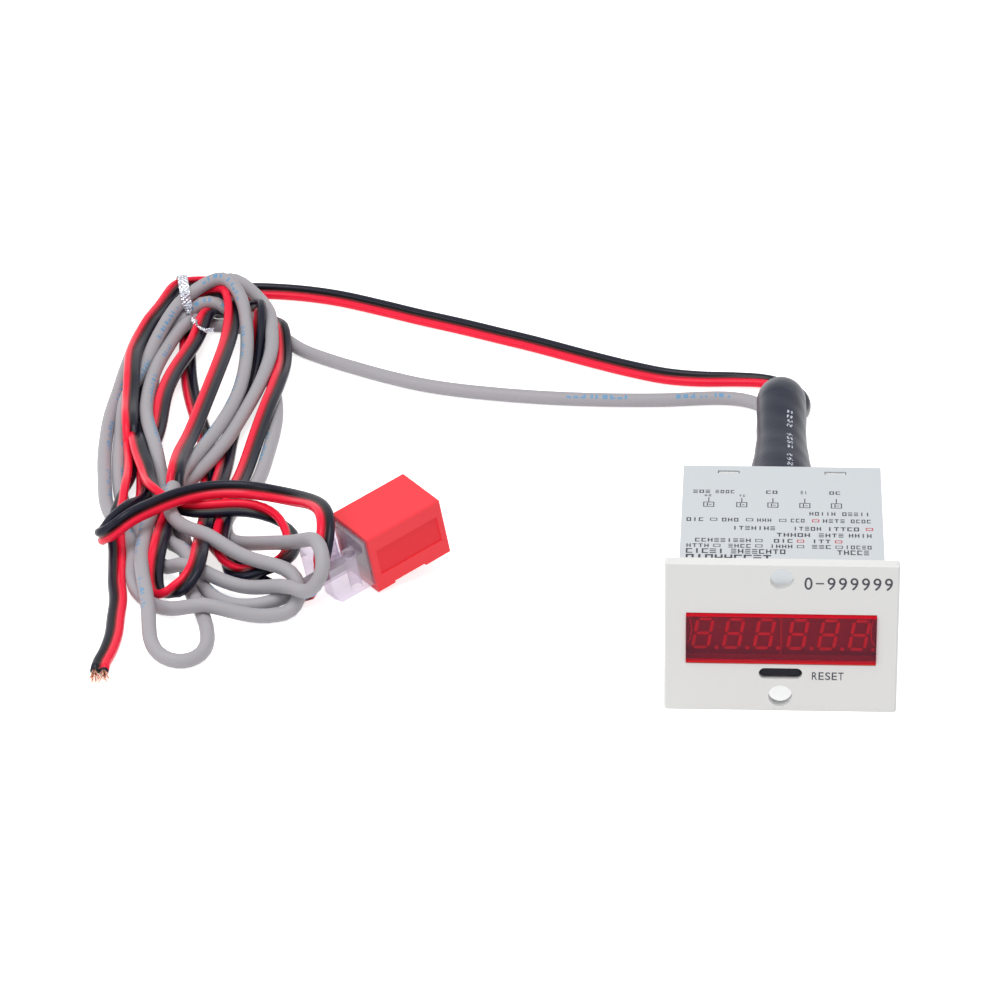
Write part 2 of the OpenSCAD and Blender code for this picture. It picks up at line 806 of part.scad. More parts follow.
// Route of the grey lead from the terminals through the sleeve to the hank
grey_run_route = [[-4, 58.1, -6.2], [-3.7, 60.5, -5.4], [-1.5, 64.5, -2.2], [0, 72, -1.8], [0, 82, -1.8], [0, 93, -1.8],
    [0, 104, -1.8], [0, 115, -1.8], [0, 124, -1.8], [0, 130.5, -3], [0, 136, -6], [0, 140.5, -10.5],
    [-0.5, 145, -15.5], [-1, 150.5, -18.8], [-1.5, 157, -19.7], [-4, 163.5, -19.7], [-9.5, 168, -19.7],
    [-16, 169.5, -19.7], [-24, 169, -19.7], [-32, 168, -19.7], [-42, 167.5, -19.7], [-53, 167.5, -19.7],
    [-64, 168, -19.7], [-74, 169, -19.7], [-84, 170.5, -19.7], [-94, 172.5, -19.7], [-104, 175.5, -19.7],
    [-114, 180, -19.7], [-124, 185.5, -19.7], [-133, 191, -19.7], [-141, 197, -19.7], [-148, 205, -19.7]];

// Route of the twin lead from the terminals through the sleeve to the hank
twin_run_route = [[6, 58, -6.2], [5.5, 60, -5], [2.2, 64, 1.2], [0, 72, 2.2], [0, 82, 2.2], [0, 93, 2.2],
    [0, 104, 2.2], [0, 115, 2.2], [0, 125, 2.2], [0, 133, 0.5], [0, 139.5, -3.5], [0, 144, -8.5],
    [2, 149, -13], [4.5, 155, -17.5], [6, 162, -19.7], [6, 169, -19.7], [3, 176, -19.7],
    [-4, 180.5, -19.7], [-13, 181.5, -19.7], [-23, 181.5, -19.7], [-33, 183, -19.7], [-43, 187, -19.7],
    [-53, 192, -19.7], [-63, 197.5, -19.7], [-73, 203, -19.7], [-83, 208, -19.7], [-95, 214, -19.7],
    [-108, 220, -19.7], [-120, 226, -19.7], [-132, 231.5, -19.7], [-142, 234.5, -19.7], [-152, 236, -19.7]];

// Route of the grey lead from the hank to the sensor
grey_tail_route = [[-146, 44.5, -19.7], [-139.5, 44.5, -19.4], [-133, 47, -18.3], [-127.4, 51.2, -16.8],
    [-121.7, 55.5, -15.2], [-116.1, 59.8, -13.7]];

// Route of the twin lead from the hank to its stripped ends
twin_tail_route = [[-181.5, 76, -19.7], [-180.5, 67, -20.5], [-179.5, 57.5, -20.5], [-178, 48, -20.5],
    [-177.5, 38.5, -20.5], [-177, 29, -20.5], [-177.5, 20.5, -20.5], [-178.5, 14, -20.5], [-178.5, 10, -20.5]];

grey_sides = 10;
twin_sides = 8;

module grey_lead_run() {
    color([0.64, 0.63, 0.65])
        swept_lead(grey_run_route, grey_d / 2, grey_d / 2, grey_sides);
}

module twin_lead_run() {
    color([0.80, 0.12, 0.18])
        swept_lead(twin_run_route, twin_w / 2, twin_t / 2, twin_sides);
}

module grey_lead_tail() {
    color([0.64, 0.63, 0.65])
        swept_lead(grey_tail_route, grey_d / 2, grey_d / 2, grey_sides);
}

module twin_lead_tail() {
    color([0.80, 0.12, 0.18])
        swept_lead(twin_tail_route, twin_w / 2, twin_t / 2, twin_sides);
}

hank_top = [-172, 222];
hank_top_r = 26;
hank_foot = [-150, 32];
hank_foot_r = 22;
hank_side = [-167, 78];
hank_side_r = 23.5;
hank_h = 12;
hank_lift = 0.1;

// Outline of the tied hank, wider at its far end
module hank_outline() {
    hull() {
        translate(hank_top)
            circle(hank_top_r, $fn = 32);
        translate(hank_foot)
            circle(hank_foot_r, $fn = 32);
        translate(hank_side)
            circle(hank_side_r, $fn = 32);
    }
}

// Both leads wound into one long hank that lies on the table
module lead_hank() {
    color([0.60, 0.50, 0.52])
        translate([0, 0, floor_z + hank_lift])
            linear_extrude(hank_h)
                hank_outline();
}

tie_place = [-176, 212];
tie_turn = 8;
tie_w = 3;
tie_len = 30;
tie_t = 0.8;
tie_leg_len = 9;
tie_leg_turn = -60;

// Twist tie across the far end of the hank, with its short twisted leg
module twist_tie() {
    color([0.82, 0.83, 0.85])
        translate([tie_place[0], tie_place[1], floor_z + hank_lift + hank_h])
            rotate(tie_turn) {
                translate([-tie_w / 2, -tie_len / 2, 0])
                    cube([tie_w, tie_len, tie_t]);
                translate([0, -tie_len / 2 + tie_w / 2, 0])
                    rotate(tie_leg_turn)
                        translate([0, -tie_w / 2, 0])
                            cube([tie_leg_len, tie_w, tie_t]);
            }
}

strand_d = 1.6;
strand_len = 5;
strand_seat = 0.05;

// Stripped copper ends of the twin lead
module copper_ends() {
    tail_end = twin_tail_route[len(twin_tail_route) - 1];
    color([0.80, 0.50, 0.34])
        for (side = [-1, 1])
            translate([tail_end[0] + side * twin_w / 4, tail_end[1] - strand_seat, tail_end[2]])
                rotate([90, 0, 0])
                    cylinder(h = strand_len, d = strand_d, $fn = 24);
}

// Where the sensor lies: turned on the table with its red end raised
sensor_place = [-108, 55.2, -21.3];
sensor_tilt = [2, -12.5, 37];

module in_sensor_place() {
    translate(sensor_place)
        rotate(sensor_tilt)
            children();
}

panel_depth = 0.35;
panel_inset = 2;
panel_low_share = 0.29;
panel_high_share = 0.74;
foot_h = 1;
notch_from_share = 0.23;
notch_to_share = 0.66;
cap_edge = 0.4;

// Outline from the origin with its corners cut at 45 degrees
module cut_corners(w, h, cut) {
    polygon([[cut, 0], [w - cut, 0], [w, cut], [w, h - cut], [w - cut, h], [cut, h], [0, h - cut], [0, cut]]);
}

// Block of the cap with its long edges and the edges of its closed end bevelled
module cap_block() {
    intersection() {
        rotate([90, 0, 90])
            linear_extrude(cap_len)
                cut_corners(cap_w, cap_h, cap_edge);
        translate([-overrun, cap_w, 0])
            rotate([90, 0, 0])
                linear_extrude(cap_w)
                    cut_corners(cap_len + overrun, cap_h, cap_edge);
        translate([-overrun, 0, 0])
            linear_extrude(cap_h)
                cut_corners(cap_len + overrun, cap_w, cap_edge);
    }
}

// Red cap, open towards the ears, with sunk side panels and a notch between its feet
module sensor_cap() {
    panel_z = panel_low_share * cap_h;
    panel_h = (panel_high_share - panel_low_share) * cap_h;
    color([0.98, 0.26, 0.26])
        in_sensor_place()
            difference() {
                cap_block();
                translate([-overrun, cap_wall, cap_wall + foot_h])
                    cube([cap_len - cap_wall + overrun, cap_w - 2 * cap_wall, cap_h - 2 * cap_wall - foot_h]);
                for (y = [-overrun, cap_w - panel_depth])
                    translate([panel_inset, y, panel_z])
                        cube([cap_len - 2 * panel_inset, panel_depth + overrun, panel_h]);
                translate([notch_from_share * cap_len, -overrun, -overrun])
                    cube([(notch_to_share - notch_from_share) * cap_len, cap_w + 2 * overrun, foot_h + overrun]);
            }
}

plug_gap = 0.15;
plug_end_gap = 1.5;
plug_wall = 1.4;
ear_chamfer = 2;
ear_bottom = cap_wall + foot_h + plug_gap;
ear_hole_x = -4.2;

// Clear body: a hollow block inside the cap and two drilled ears outside it
module sensor_body() {
    plug_w = cap_w - 2 * cap_wall - 2 * plug_gap;
    plug_h = cap_h - 2 * cap_wall - foot_h - 2 * plug_gap;
    plug_len = cap_len - cap_wall - plug_end_gap;
    plug_y = cap_wall + plug_gap;
    color([0.86, 0.85, 0.92, 0.6])
        in_sensor_place()
            difference() {
                union() {
                    translate([-plug_wall, plug_y, ear_bottom])
                        cube([plug_len + plug_wall, plug_w, plug_h]);
                    for (y = [plug_y, plug_y + plug_w - ear_w])
                        translate([0, y + ear_w, 0])
                            rotate([90, 0, 0])
                                linear_extrude(ear_w)
                                    polygon([[0, ear_bottom], [-ear_len + ear_chamfer, ear_bottom],
                                        [-ear_len, ear_bottom + ear_chamfer], [-ear_len, ear_h], [0, ear_h]]);
                }
                translate([plug_wall, plug_y + plug_wall, ear_bottom + plug_wall])
                    cube([plug_len, plug_w - 2 * plug_wall, plug_h - 2 * plug_wall]);
                for (y = [plug_y + ear_w / 2, plug_y + plug_w - ear_w / 2])
                    translate([ear_hole_x, y, ear_bottom - overrun])
                        cylinder(h = cap_h, d = ear_hole_d);
            }
}

core_d = 10;
core_t = 5;
coil_d = 6.4;
coil_bobbin_t = 2.4;

// Sensing coil in its cup at the far end of the cap
module sensor_coil() {
    color([0.30, 0.26, 0.24])
        in_sensor_place()
            translate([cap_len - cap_wall - core_t, cap_w / 2, (cap_h + foot_h) / 2])
                rotate([0, 90, 0])
                    rotate_extrude()
                        polygon([[0, 0], [core_d / 2, 0], [core_d / 2, core_t], [core_d / 2 - plug_wall, core_t],
                            [core_d / 2 - plug_wall, core_t - coil_bobbin_t], [coil_d / 4, core_t - coil_bobbin_t],
                            [coil_d / 4, core_t], [0, core_t]]);
}

sensor_board_t = 1;
sensor_board_w = 10;
sensor_board_from = 2.2;

// Small board behind the coil, on the floor of the clear body
module sensor_board() {
    color([0.12, 0.38, 0.22])
        in_sensor_place()
            translate([sensor_board_from, (cap_w - sensor_board_w) / 2, ear_bottom + plug_wall])
                cube([cap_len - cap_wall - core_t - seat_gap - sensor_board_from, sensor_board_w, sensor_board_t]);
}

led_d = 3;
led_len = 3.4;

// Lamp that shows when the sensor switches
module sensor_led() {
    color([0.90, 0.15, 0.12])
        in_sensor_place()
            translate([sensor_board_from + led_d, cap_w / 2, ear_bottom + plug_wall + sensor_board_t]) {
                cylinder(h = led_len, d = led_d, $fn = 32);
                translate([0, 0, led_len])
                    sphere(d = led_d, $fn = 32);
            }
}

housing();
rear_cover();
display_window();
reset_button();
switch_plunger();
switch_body();
display_left();
display_right();
display_board();
main_board();
board_header();
controller_chip();
driver_chip();
memory_chip();
optocoupler();
crystal();
filter_capacitors();
voltage_regulator();
terminal_strip();
terminal_screws();
cable_sleeve();
grey_lead_run();
twin_lead_run();
lead_hank();
grey_lead_tail();
twin_lead_tail();
copper_ends();
twist_tie();
sensor_cap();
sensor_body();
sensor_coil();
sensor_board();
sensor_led();
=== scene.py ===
# Panel counter with a red six-digit window, its shrunk cable sleeve, a twin supply lead and a
# proximity sensor on a grey lead, lying on a white table.
import bmesh
import bpy
import math
import random
import numpy as np
from mathutils import Euler, Matrix, Vector


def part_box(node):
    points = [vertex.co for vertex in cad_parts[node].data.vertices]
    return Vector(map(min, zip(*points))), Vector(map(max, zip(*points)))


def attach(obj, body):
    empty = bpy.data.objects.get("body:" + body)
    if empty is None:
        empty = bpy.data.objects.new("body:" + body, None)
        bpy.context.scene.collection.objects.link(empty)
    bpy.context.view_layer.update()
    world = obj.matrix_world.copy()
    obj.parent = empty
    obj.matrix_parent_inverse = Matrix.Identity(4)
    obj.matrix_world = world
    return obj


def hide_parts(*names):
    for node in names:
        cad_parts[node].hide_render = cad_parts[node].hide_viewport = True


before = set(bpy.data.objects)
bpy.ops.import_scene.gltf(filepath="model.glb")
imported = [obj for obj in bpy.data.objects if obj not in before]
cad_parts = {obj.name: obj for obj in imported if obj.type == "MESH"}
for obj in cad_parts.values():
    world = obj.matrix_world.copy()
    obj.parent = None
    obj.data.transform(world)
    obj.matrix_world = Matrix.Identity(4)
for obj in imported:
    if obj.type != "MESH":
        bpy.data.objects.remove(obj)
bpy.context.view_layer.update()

# The camera looks down at the front of the counter from a little to its right, far enough away
# that the bezel hardly tapers, with the leads spread out at the left.
elevation, azimuth, roll = math.radians(28.37), math.radians(3.28), math.radians(-0.76)
camera_place = (-0.00924, -1.1165, 0.64304)
back = Vector((math.sin(azimuth) * math.cos(elevation), -math.cos(azimuth) * math.cos(elevation),
               math.sin(elevation)))
right = Vector((math.cos(azimuth), math.sin(azimuth), 0))
up = back.cross(right)
camera_data = bpy.data.cameras.new("camera")
camera_data.sensor_width = 36
camera_data.lens = 181.82
camera_data.clip_end = 20
camera = bpy.data.objects.new("camera", camera_data)
bpy.context.scene.collection.objects.link(camera)
camera_axes = Matrix((math.cos(roll) * right + math.sin(roll) * up,
                      -math.sin(roll) * right + math.cos(roll) * up, back)).transposed()
camera.matrix_world = Matrix.Translation(camera_place) @ camera_axes.to_4x4()
bpy.context.scene.camera = camera

# White studio: a matt laminate table that stays white to the eye and takes only a faint shadow of
# what lies on it, under an even white surround, with a soft box above and a weaker one at the left.
bpy.context.scene.view_settings.view_transform = "Standard"
surround_light = 0.5
soft_boxes = (("soft_box_above", (-0.2, -0.15, 1.1), 0.7, 7), ("soft_box_left", (-1.1, -0.5, 0.7), 0.5, 2))
lit_place = Vector((-0.08, 0.05, 0))
table_height = -0.0219
table_glow = 0.75


def colour(code):
    """An sRGB hex colour as the linear colour that Blender's sockets take."""
    parts = [int(code[i:i + 2], 16) / 255 for i in (1, 3, 5)]
    return [p / 12.92 if p <= 0.04045 else ((p + 0.055) / 1.055) ** 2.4 for p in parts] + [1]


def add(material, kind, inputs={}, **settings):
    """Adds a node to the material. An input gets a value, an output or a node's first output."""
    node = material.node_tree.nodes.new(kind)
    for key, value in settings.items():
        setattr(node, key, value)
    for key, value in inputs.items():
        if isinstance(value, bpy.types.Node):
            value = value.outputs[0]
        if isinstance(value, bpy.types.NodeSocket):
            material.node_tree.links.new(value, node.inputs[key])
        else:
            node.inputs[key].default_value = value
    return node


def surface(name, base, roughness, settings={}):
    """A material whose own shader has this base colour and roughness."""
    material = bpy.data.materials.new(name)
    material.use_nodes = True
    shader = material.node_tree.nodes["Principled BSDF"]
    shader.inputs["Base Color"].default_value = colour(base)
    shader.inputs["Roughness"].default_value = roughness
    for key, value in settings.items():
        shader.inputs[key].default_value = value
    return material


def feed(material, socket, output):
    """Lets an output feed this socket of the material's own shader."""
    material.node_tree.links.new(output, material.node_tree.nodes["Principled BSDF"].inputs[socket])


def seen_directly(material):
    """1 for what the eye sees of a surface straight, in a polished face or through glass, else 0."""
    ray = add(material, "ShaderNodeLightPath")
    seen = 0
    for kind in ("Is Camera Ray", "Is Glossy Ray", "Is Transmission Ray"):
        seen = add(material, "ShaderNodeMath", {0: seen, 1: ray.outputs[kind]}, operation="MAXIMUM")
    return seen


world = bpy.data.worlds.new("white_surround")
world.use_nodes = True
background = world.node_tree.nodes["Background"]
background.inputs["Color"].default_value = (1, 1, 1, 1)
# the eye sees the surround at full white, and the object is lit by only a part of that
strength = add(world, "ShaderNodeMath",
               {0: seen_directly(world), 1: 1 - surround_light, 2: surround_light}, operation="MULTIPLY_ADD")
world.node_tree.links.new(strength.outputs[0], background.inputs["Strength"])
bpy.context.scene.world = world
for box_name, place, size, watts in soft_boxes:
    lamp_data = bpy.data.lights.new(box_name, "AREA")
    lamp_data.size = size
    lamp_data.energy = watts
    lamp = bpy.data.objects.new(box_name, lamp_data)
    bpy.context.scene.collection.objects.link(lamp)
    lamp.location = place
    lamp.rotation_euler = (lit_place - Vector(place)).to_track_quat("-Z", "Y").to_euler()
bpy.ops.object.select_all(action="DESELECT")
bpy.ops.mesh.primitive_plane_add(size=8, location=(0, 0, table_height))
table = bpy.context.object
table.name = "table_top"
# pressed laminate with a matt face: no sheen and no mirror image, only one even white
laminate = surface("white_laminate_pressed", "#FFFFFF", 0.9,
                   {"Specular IOR Level": 0, "Emission Color": (1, 1, 1, 1)})
glow = add(laminate, "ShaderNodeMath", {0: seen_directly(laminate), 1: table_glow}, operation="MULTIPLY")
feed(laminate, "Emission Strength", glow.outputs[0])
table.data.materials.append(laminate)

# The hank: both leads wound several times round by hand into long loops that lie on each other and
# on the sensor's ears. Its turns are picked from the photograph, as places on the table and
# heights over it in mm, and then settle under their own stiffness until they lie on each other.
table_z = -21.8
grey_r = 2
wire_r = 1.25
point_step = 2.5
lead_gap = 10000
sensor_place = np.array([-108, 55.2, -21.3])
sensor_axes = np.array(Euler([math.radians(turn) for turn in (2, -12.5, 37)]).to_matrix())
# the sensor's two ears and its cap, as boxes in its own axes
sensor_blocks = [((-12.5, 1.35, 0), (0, 6.55, 14)), ((-12.5, 11.25, 0), (0, 16.45, 14)),
                 ((-1.4, 0, 0), (24, 17.8, 18))]
# the leads' runs from their terminals through the sleeve and over the table, and their last parts
grey_run = [
    (-4, 58.1, -6.2), (-3.7, 60.5, -5.4), (-1.5, 64.5, -2.2), (0, 72, -1.8), (0, 82, -1.8), (0, 93, -1.8),
    (0, 104, -1.8), (0, 115, -1.8), (0, 124, -1.8), (0, 130.5, -3), (0, 136, -6), (0, 140.5, -10.5),
    (-0.5, 145, -15.5), (-1, 150.5, -18.8), (-1.5, 157, -19.7), (-4, 163.5, -19.7), (-9.5, 168, -19.7),
    (-16, 169.5, -19.7), (-24, 169, -19.7), (-32, 168, -19.7), (-42, 167.5, -19.7), (-53, 167.5, -19.7),
    (-64, 168, -19.7), (-74, 169, -19.7), (-84, 170.5, -19.7), (-94, 172.5, -19.7), (-104, 175.5, -19.7),
    (-114, 180, -19.7), (-124, 185.5, -19.7), (-133, 191, -19.7), (-141, 197, -19.7), (-148, 205, -19.7)]
grey_tail = [
    (-146, 44.5, -19.7), (-139.5, 44.5, -19.4), (-133, 47, -18.3), (-127.4, 51.2, -16.8),
    (-121.7, 55.5, -15.2), (-116.1, 59.8, -13.7)]
twin_run = [
    (6, 58, -6.2), (5.5, 60, -5), (2.2, 64, 1.2), (0, 72, 2.2), (0, 82, 2.2), (0, 93, 2.2), (0, 104, 2.2),
    (0, 115, 2.2), (0, 125, 2.2), (0, 133, 0.5), (0, 139.5, -3.5), (0, 144, -8.5), (2, 149, -13),
    (4.5, 155, -17.5), (6, 162, -19.7), (6, 169, -19.7), (3, 176, -19.7), (-4, 180.5, -19.7),
    (-13, 181.5, -19.7), (-23, 181.5, -19.7), (-33, 183, -19.7), (-43, 187, -19.7), (-53, 192, -19.7),
    (-63, 197.5, -19.7), (-73, 203, -19.7), (-83, 208, -19.7), (-95, 214, -19.7), (-108, 220, -19.7),
    (-120, 226, -19.7), (-132, 231.5, -19.7), (-142, 234.5, -19.7), (-152, 236, -19.7)]
twin_tail = [
    (-181.5, 76, -19.7), (-180.5, 67, -20.5), (-179.5, 57.5, -20.5), (-178, 48, -20.5),
    (-177.5, 38.5, -20.5), (-177, 29, -20.5), (-177.5, 20.5, -20.5), (-178.5, 14, -20.5),
    (-178.5, 10, -20.5)]
# the wound parts; the twin lead's last number is its roll in degrees: at 0 the black wire is on the
# left of its way, and at 90 on top
grey_wound = [
    (-154, 207, 2.5), (-161, 211, 2.5), (-168, 214, 2.5), (-174, 212, 2.5), (-178, 203, 4), (-181, 191, 5),
    (-182, 175, 6), (-182, 156, 6.5), (-180, 139, 6), (-177, 122, 5), (-173, 104, 4), (-168, 89, 3),
    (-163, 74, 2.5), (-158, 58, 2), (-155, 44, 2), (-153, 30, 2), (-154, 18, 2), (-157, 11, 2.5),
    (-161, 13, 4), (-164, 22, 6), (-168, 34, 7.5), (-171, 51, 7.5), (-173, 70, 6.5), (-172, 89, 6),
    (-168, 105, 6), (-161, 123, 7), (-156, 141, 7.5), (-152, 160, 7.5), (-149, 182, 7.5), (-150, 202, 7.5),
    (-155, 217, 8), (-161, 229, 7), (-168, 235, 5), (-176, 232, 4), (-183, 224, 3.5), (-189, 210, 3),
    (-191, 193, 2.5), (-192, 174, 2.5), (-192, 154, 2.5), (-191, 129, 2.5), (-188, 105, 2.5),
    (-184, 85, 2.5), (-178, 65, 2), (-172, 50, 2), (-164, 42, 2), (-155, 37, 3.5), (-146, 38, 4),
    (-137, 42, 3.5), (-130, 43, 4), (-127, 42, 5), (-126, 43, 8), (-130, 46, 9.5), (-138, 53, 10),
    (-149, 63, 10), (-158, 72, 9.5), (-164, 78, 9), (-168, 87, 8), (-169, 96, 7.5), (-168, 106, 7.5),
    (-165, 116, 7.5), (-161, 128, 8), (-158, 145, 8.5), (-156, 164, 9), (-156, 184, 9.5), (-158, 203, 10),
    (-162, 215, 10.5), (-168, 221, 10.5), (-174, 220, 10), (-179, 211, 9), (-183, 199, 8.5),
    (-185, 185, 8), (-187, 172, 6), (-188, 157, 4), (-188, 138, 3), (-186, 117, 2.5), (-182, 98, 2.5),
    (-177, 81, 2.5), (-170, 67, 3.5), (-161, 59, 4.5), (-152, 54, 4.5), (-144, 51, 4), (-135, 48, 5.5),
    (-127, 44, 9.5), (-124, 40, 12.5), (-121, 38, 15), (-120, 37, 18), (-121, 40, 19), (-124, 45, 18.5),
    (-129, 55, 15.5), (-139, 69, 10), (-148, 76, 6), (-154, 84, 3), (-153, 96, 2), (-148, 107, 2),
    (-146, 120, 2), (-145, 137, 2), (-145, 157, 2), (-148, 178, 2), (-152, 198, 2), (-157, 210, 3.5),
    (-164, 214, 6), (-171, 216, 6), (-176, 214, 3.5), (-181, 203, 2.5), (-183, 186, 2), (-183, 167, 2),
    (-182, 147, 2), (-179, 128, 2), (-175, 109, 2), (-170, 91, 2), (-163, 69, 5.5), (-159, 61, 2.5),
    (-153, 50, 2)]
twin_wound = [
    (-162, 236, 2, 120), (-167, 233, 2, 90), (-172, 227, 2, 60), (-174, 215, 2, 30), (-175, 198, 2, 0),
    (-173, 182, 2, 0), (-170, 165, 2, 0), (-166, 149, 2, 0), (-162, 132, 2, 0), (-160, 114, 2, 0),
    (-158, 97, 2, 0), (-154, 78, 2, 30), (-147, 64, 2, 80), (-138, 56, 2, 120), (-132, 49, 3, 150),
    (-128, 48, 5.5, 160), (-125, 49, 10, 170), (-123, 49, 15, 180), (-122, 51, 19, 180),
    (-121, 53, 22, 180), (-122, 57, 23.5, 175), (-124, 64, 23.5, 165), (-128, 72, 21.5, 155),
    (-132, 79, 18.5, 140), (-143, 89, 15, 130), (-155, 89, 15.5, 120), (-164, 85, 15.5, 115),
    (-173, 79, 14.5, 115), (-180, 72, 12.5, 110), (-184, 67, 11.5, 90), (-187, 68, 9, 60),
    (-187, 71, 7, 70), (-183, 76, 6, 90), (-179, 87, 5.5, 120), (-177, 105, 5, 150), (-178, 124, 5, 180),
    (-178, 141, 6, 180), (-178, 154, 8, 180), (-177, 169, 8, 180), (-175, 183, 8, 180),
    (-172, 196, 7.5, 180), (-170, 207, 6.5, 180), (-166, 219, 5, 180), (-161, 223, 4, 150),
    (-156, 215, 4, 90), (-154, 195, 4, 40), (-155, 173, 4, 0), (-156, 156, 4, 0), (-157, 137, 4, 0),
    (-157, 119, 4, 0), (-157, 101, 4, 0), (-158, 86, 4, 0), (-158, 71, 5, 0), (-159, 55, 6, 0),
    (-161, 44, 6, -60), (-164, 42, 6, -120), (-167, 51, 6, -180), (-169, 66, 6, -180), (-170, 82, 6, -180),
    (-169, 94, 7, -180), (-168, 108, 9, -180), (-167, 128, 10, -180), (-165, 149, 11, -180),
    (-163, 171, 11.5, -180), (-162, 192, 11, -170), (-163, 209, 9.5, -130), (-167, 220, 8, -90),
    (-173, 222, 7, -90), (-179, 220, 6, -130), (-184, 214, 4.5, -150), (-187, 201, 3, -90),
    (-187, 183, 3, -30), (-185, 158, 5.5, 0), (-182, 136, 7, 0), (-179, 117, 7, 0), (-174, 101, 7, -30),
    (-169, 89, 8, -70), (-162, 85, 10, -110), (-154, 87, 10.5, -125), (-146, 88, 10.5, -120),
    (-139, 85, 10, -80), (-134, 78, 9, -30), (-134, 66, 8, 0), (-137, 58, 6, 0), (-142, 56, 4.5, -20),
    (-148, 59, 4, -60), (-151, 70, 4, -150), (-153, 84, 4, -180), (-152, 97, 4.5, -180),
    (-151, 111, 5, -180), (-150, 127, 5.5, -180), (-148, 146, 6, -180), (-146, 167, 5.5, -180),
    (-146, 187, 5, -180), (-148, 204, 4.5, -180), (-154, 219, 4, -150), (-161, 228, 4.5, -100),
    (-168, 240, 3, -60), (-173, 240, 3.5, -50), (-179, 234, 5, -50), (-183, 221, 6.5, -40),
    (-187, 205, 8, -30), (-188, 189, 8, -20), (-188, 170, 8, -20), (-186, 147, 8, -20),
    (-183, 125, 7.5, -40), (-182, 106, 6.5, -90), (-183, 90, 5, -150), (-182, 78, 3, -180)]
run_turn = [180] * 17 + [170, 160, 150, 140] + [135] * 11
grey_line = grey_run + [(x, y, table_z + high) for x, y, high in grey_wound] + grey_tail
twin_line = [point + (turn,) for point, turn in zip(twin_run, run_turn)]
twin_line += [(x, y, table_z + high, turn) for x, y, high, turn in twin_wound]
twin_line += [point + (-180,) for point in twin_tail]


def smooth_line(points, step, fineness=12):
    """Points this far apart along a smooth line through the given ones."""
    points = np.array(points, float)
    chords = np.linalg.norm(np.diff(points[:, :3], axis=0), axis=1)
    knots = np.concatenate([[0], np.cumsum(np.sqrt(chords))])
    slopes = np.gradient(points, knots, axis=0)
    at = np.linspace(0, knots[-1], fineness * len(points))
    i = np.clip(np.searchsorted(knots, at, "right") - 1, 0, len(points) - 2)
    span = (knots[i + 1] - knots[i])[:, None]
    u = (at - knots[i])[:, None] / span
    line = (points[i] * (1 + 2 * u) * (1 - u) ** 2 + slopes[i] * span * u * (1 - u) ** 2
            + points[i + 1] * u ** 2 * (3 - 2 * u) + slopes[i + 1] * span * u ** 2 * (u - 1))
    along = np.concatenate([[0], np.cumsum(np.linalg.norm(np.diff(line[:, :3], axis=0), axis=1))])
    marks = np.linspace(0, along[-1], round(along[-1] / step) + 1)
    return np.column_stack([np.interp(marks, along, column) for column in line.T])


def unit(vectors):
    return vectors / np.maximum(np.linalg.norm(vectors, axis=1, keepdims=True), 1e-9)


def sides_of(line):
    """Heading of a line at each point, the level direction on its left, and the one above it."""
    ahead = unit(np.gradient(line, axis=0))
    left = unit(np.cross([0, 0, 1], ahead))
    return ahead, left, np.cross(ahead, left)


def wires(line, turns):
    """Centres of the black and of the red wire of the twin lead."""
    ahead, left, above = sides_of(line)
    out = wire_r * (np.cos(turns) * left + np.sin(turns) * above)
    return line + out, line - out


def held(drawn, run_end, tail_start, fading=0.12):
    """How firmly each point keeps its place: wholly on the run and the tail, hardly in between."""
    first = np.argmin(np.linalg.norm(drawn - run_end, axis=1))
    last = np.argmin(np.linalg.norm(drawn - tail_start, axis=1))
    place = np.arange(len(drawn))
    return np.clip(1 - np.minimum(place - first, last - place) * fading, 0, 1)


def ease(line, least_r=8.3, stiffness=0.22, spring=0.125, opening=0.25):
    """Lets a lead straighten a little everywhere, and open its tightest bends."""
    for _ in range(5):
        line[2:-2] += stiffness * ((4 * (line[1:-3] + line[3:-1]) - line[:-4] - line[4:]) / 6 - line[2:-2])
        gaps = np.diff(line, axis=0)
        lengths = np.linalg.norm(gaps, axis=1, keepdims=True)
        slack = spring * (lengths - point_step) * gaps / lengths
        line[:-1] += slack
        line[1:] -= slack
    middle = (line[:-8] + line[8:]) / 2
    rise = line[4:-4] - middle
    sag = np.linalg.norm(rise, axis=1, keepdims=True)
    half = np.linalg.norm(line[8:] - line[:-8], axis=1, keepdims=True) / 2
    radius = (half ** 2 + sag ** 2) / (2 * np.maximum(sag, 1e-6))
    push = rise * np.clip(1 - radius / least_r, 0, 1) * opening
    line[4:-4] -= push
    line[:-8] += push / 2
    line[8:] += push / 2


def near_pairs(points, owner, reach, neighbours=5):
    """Pairs of points within reach of each other, other than neighbours along one lead."""
    flat = points.astype(np.float32)
    squares = (flat ** 2).sum(axis=1)
    apart = squares[:, None] + squares[None, :] - 2 * flat @ flat.T
    i, j = np.nonzero(np.triu(apart < reach ** 2, 1))
    keep = np.abs(owner[i] - owner[j]) > neighbours
    return i[keep], j[keep]


def clear_of_sensor(line, reach):
    """How far to move each point so that the lead lies on or beside the sensor, not in it."""
    inside = (line - sensor_place) @ sensor_axes
    moves = np.zeros_like(line)
    for low, high in sensor_blocks:
        low, high = np.array(low) - reach, np.array(high) + reach
        for k in np.nonzero(np.all((inside > low) & (inside < high), axis=1))[0]:
            depth, axis, sign = min((inside[k, 0] - low[0], 0, -1), (inside[k, 1] - low[1], 1, -1),
                                    (high[1] - inside[k, 1], 1, 1), (high[2] - inside[k, 2], 2, 1))
            moves[k] += sign * depth * sensor_axes[:, axis]
    return moves


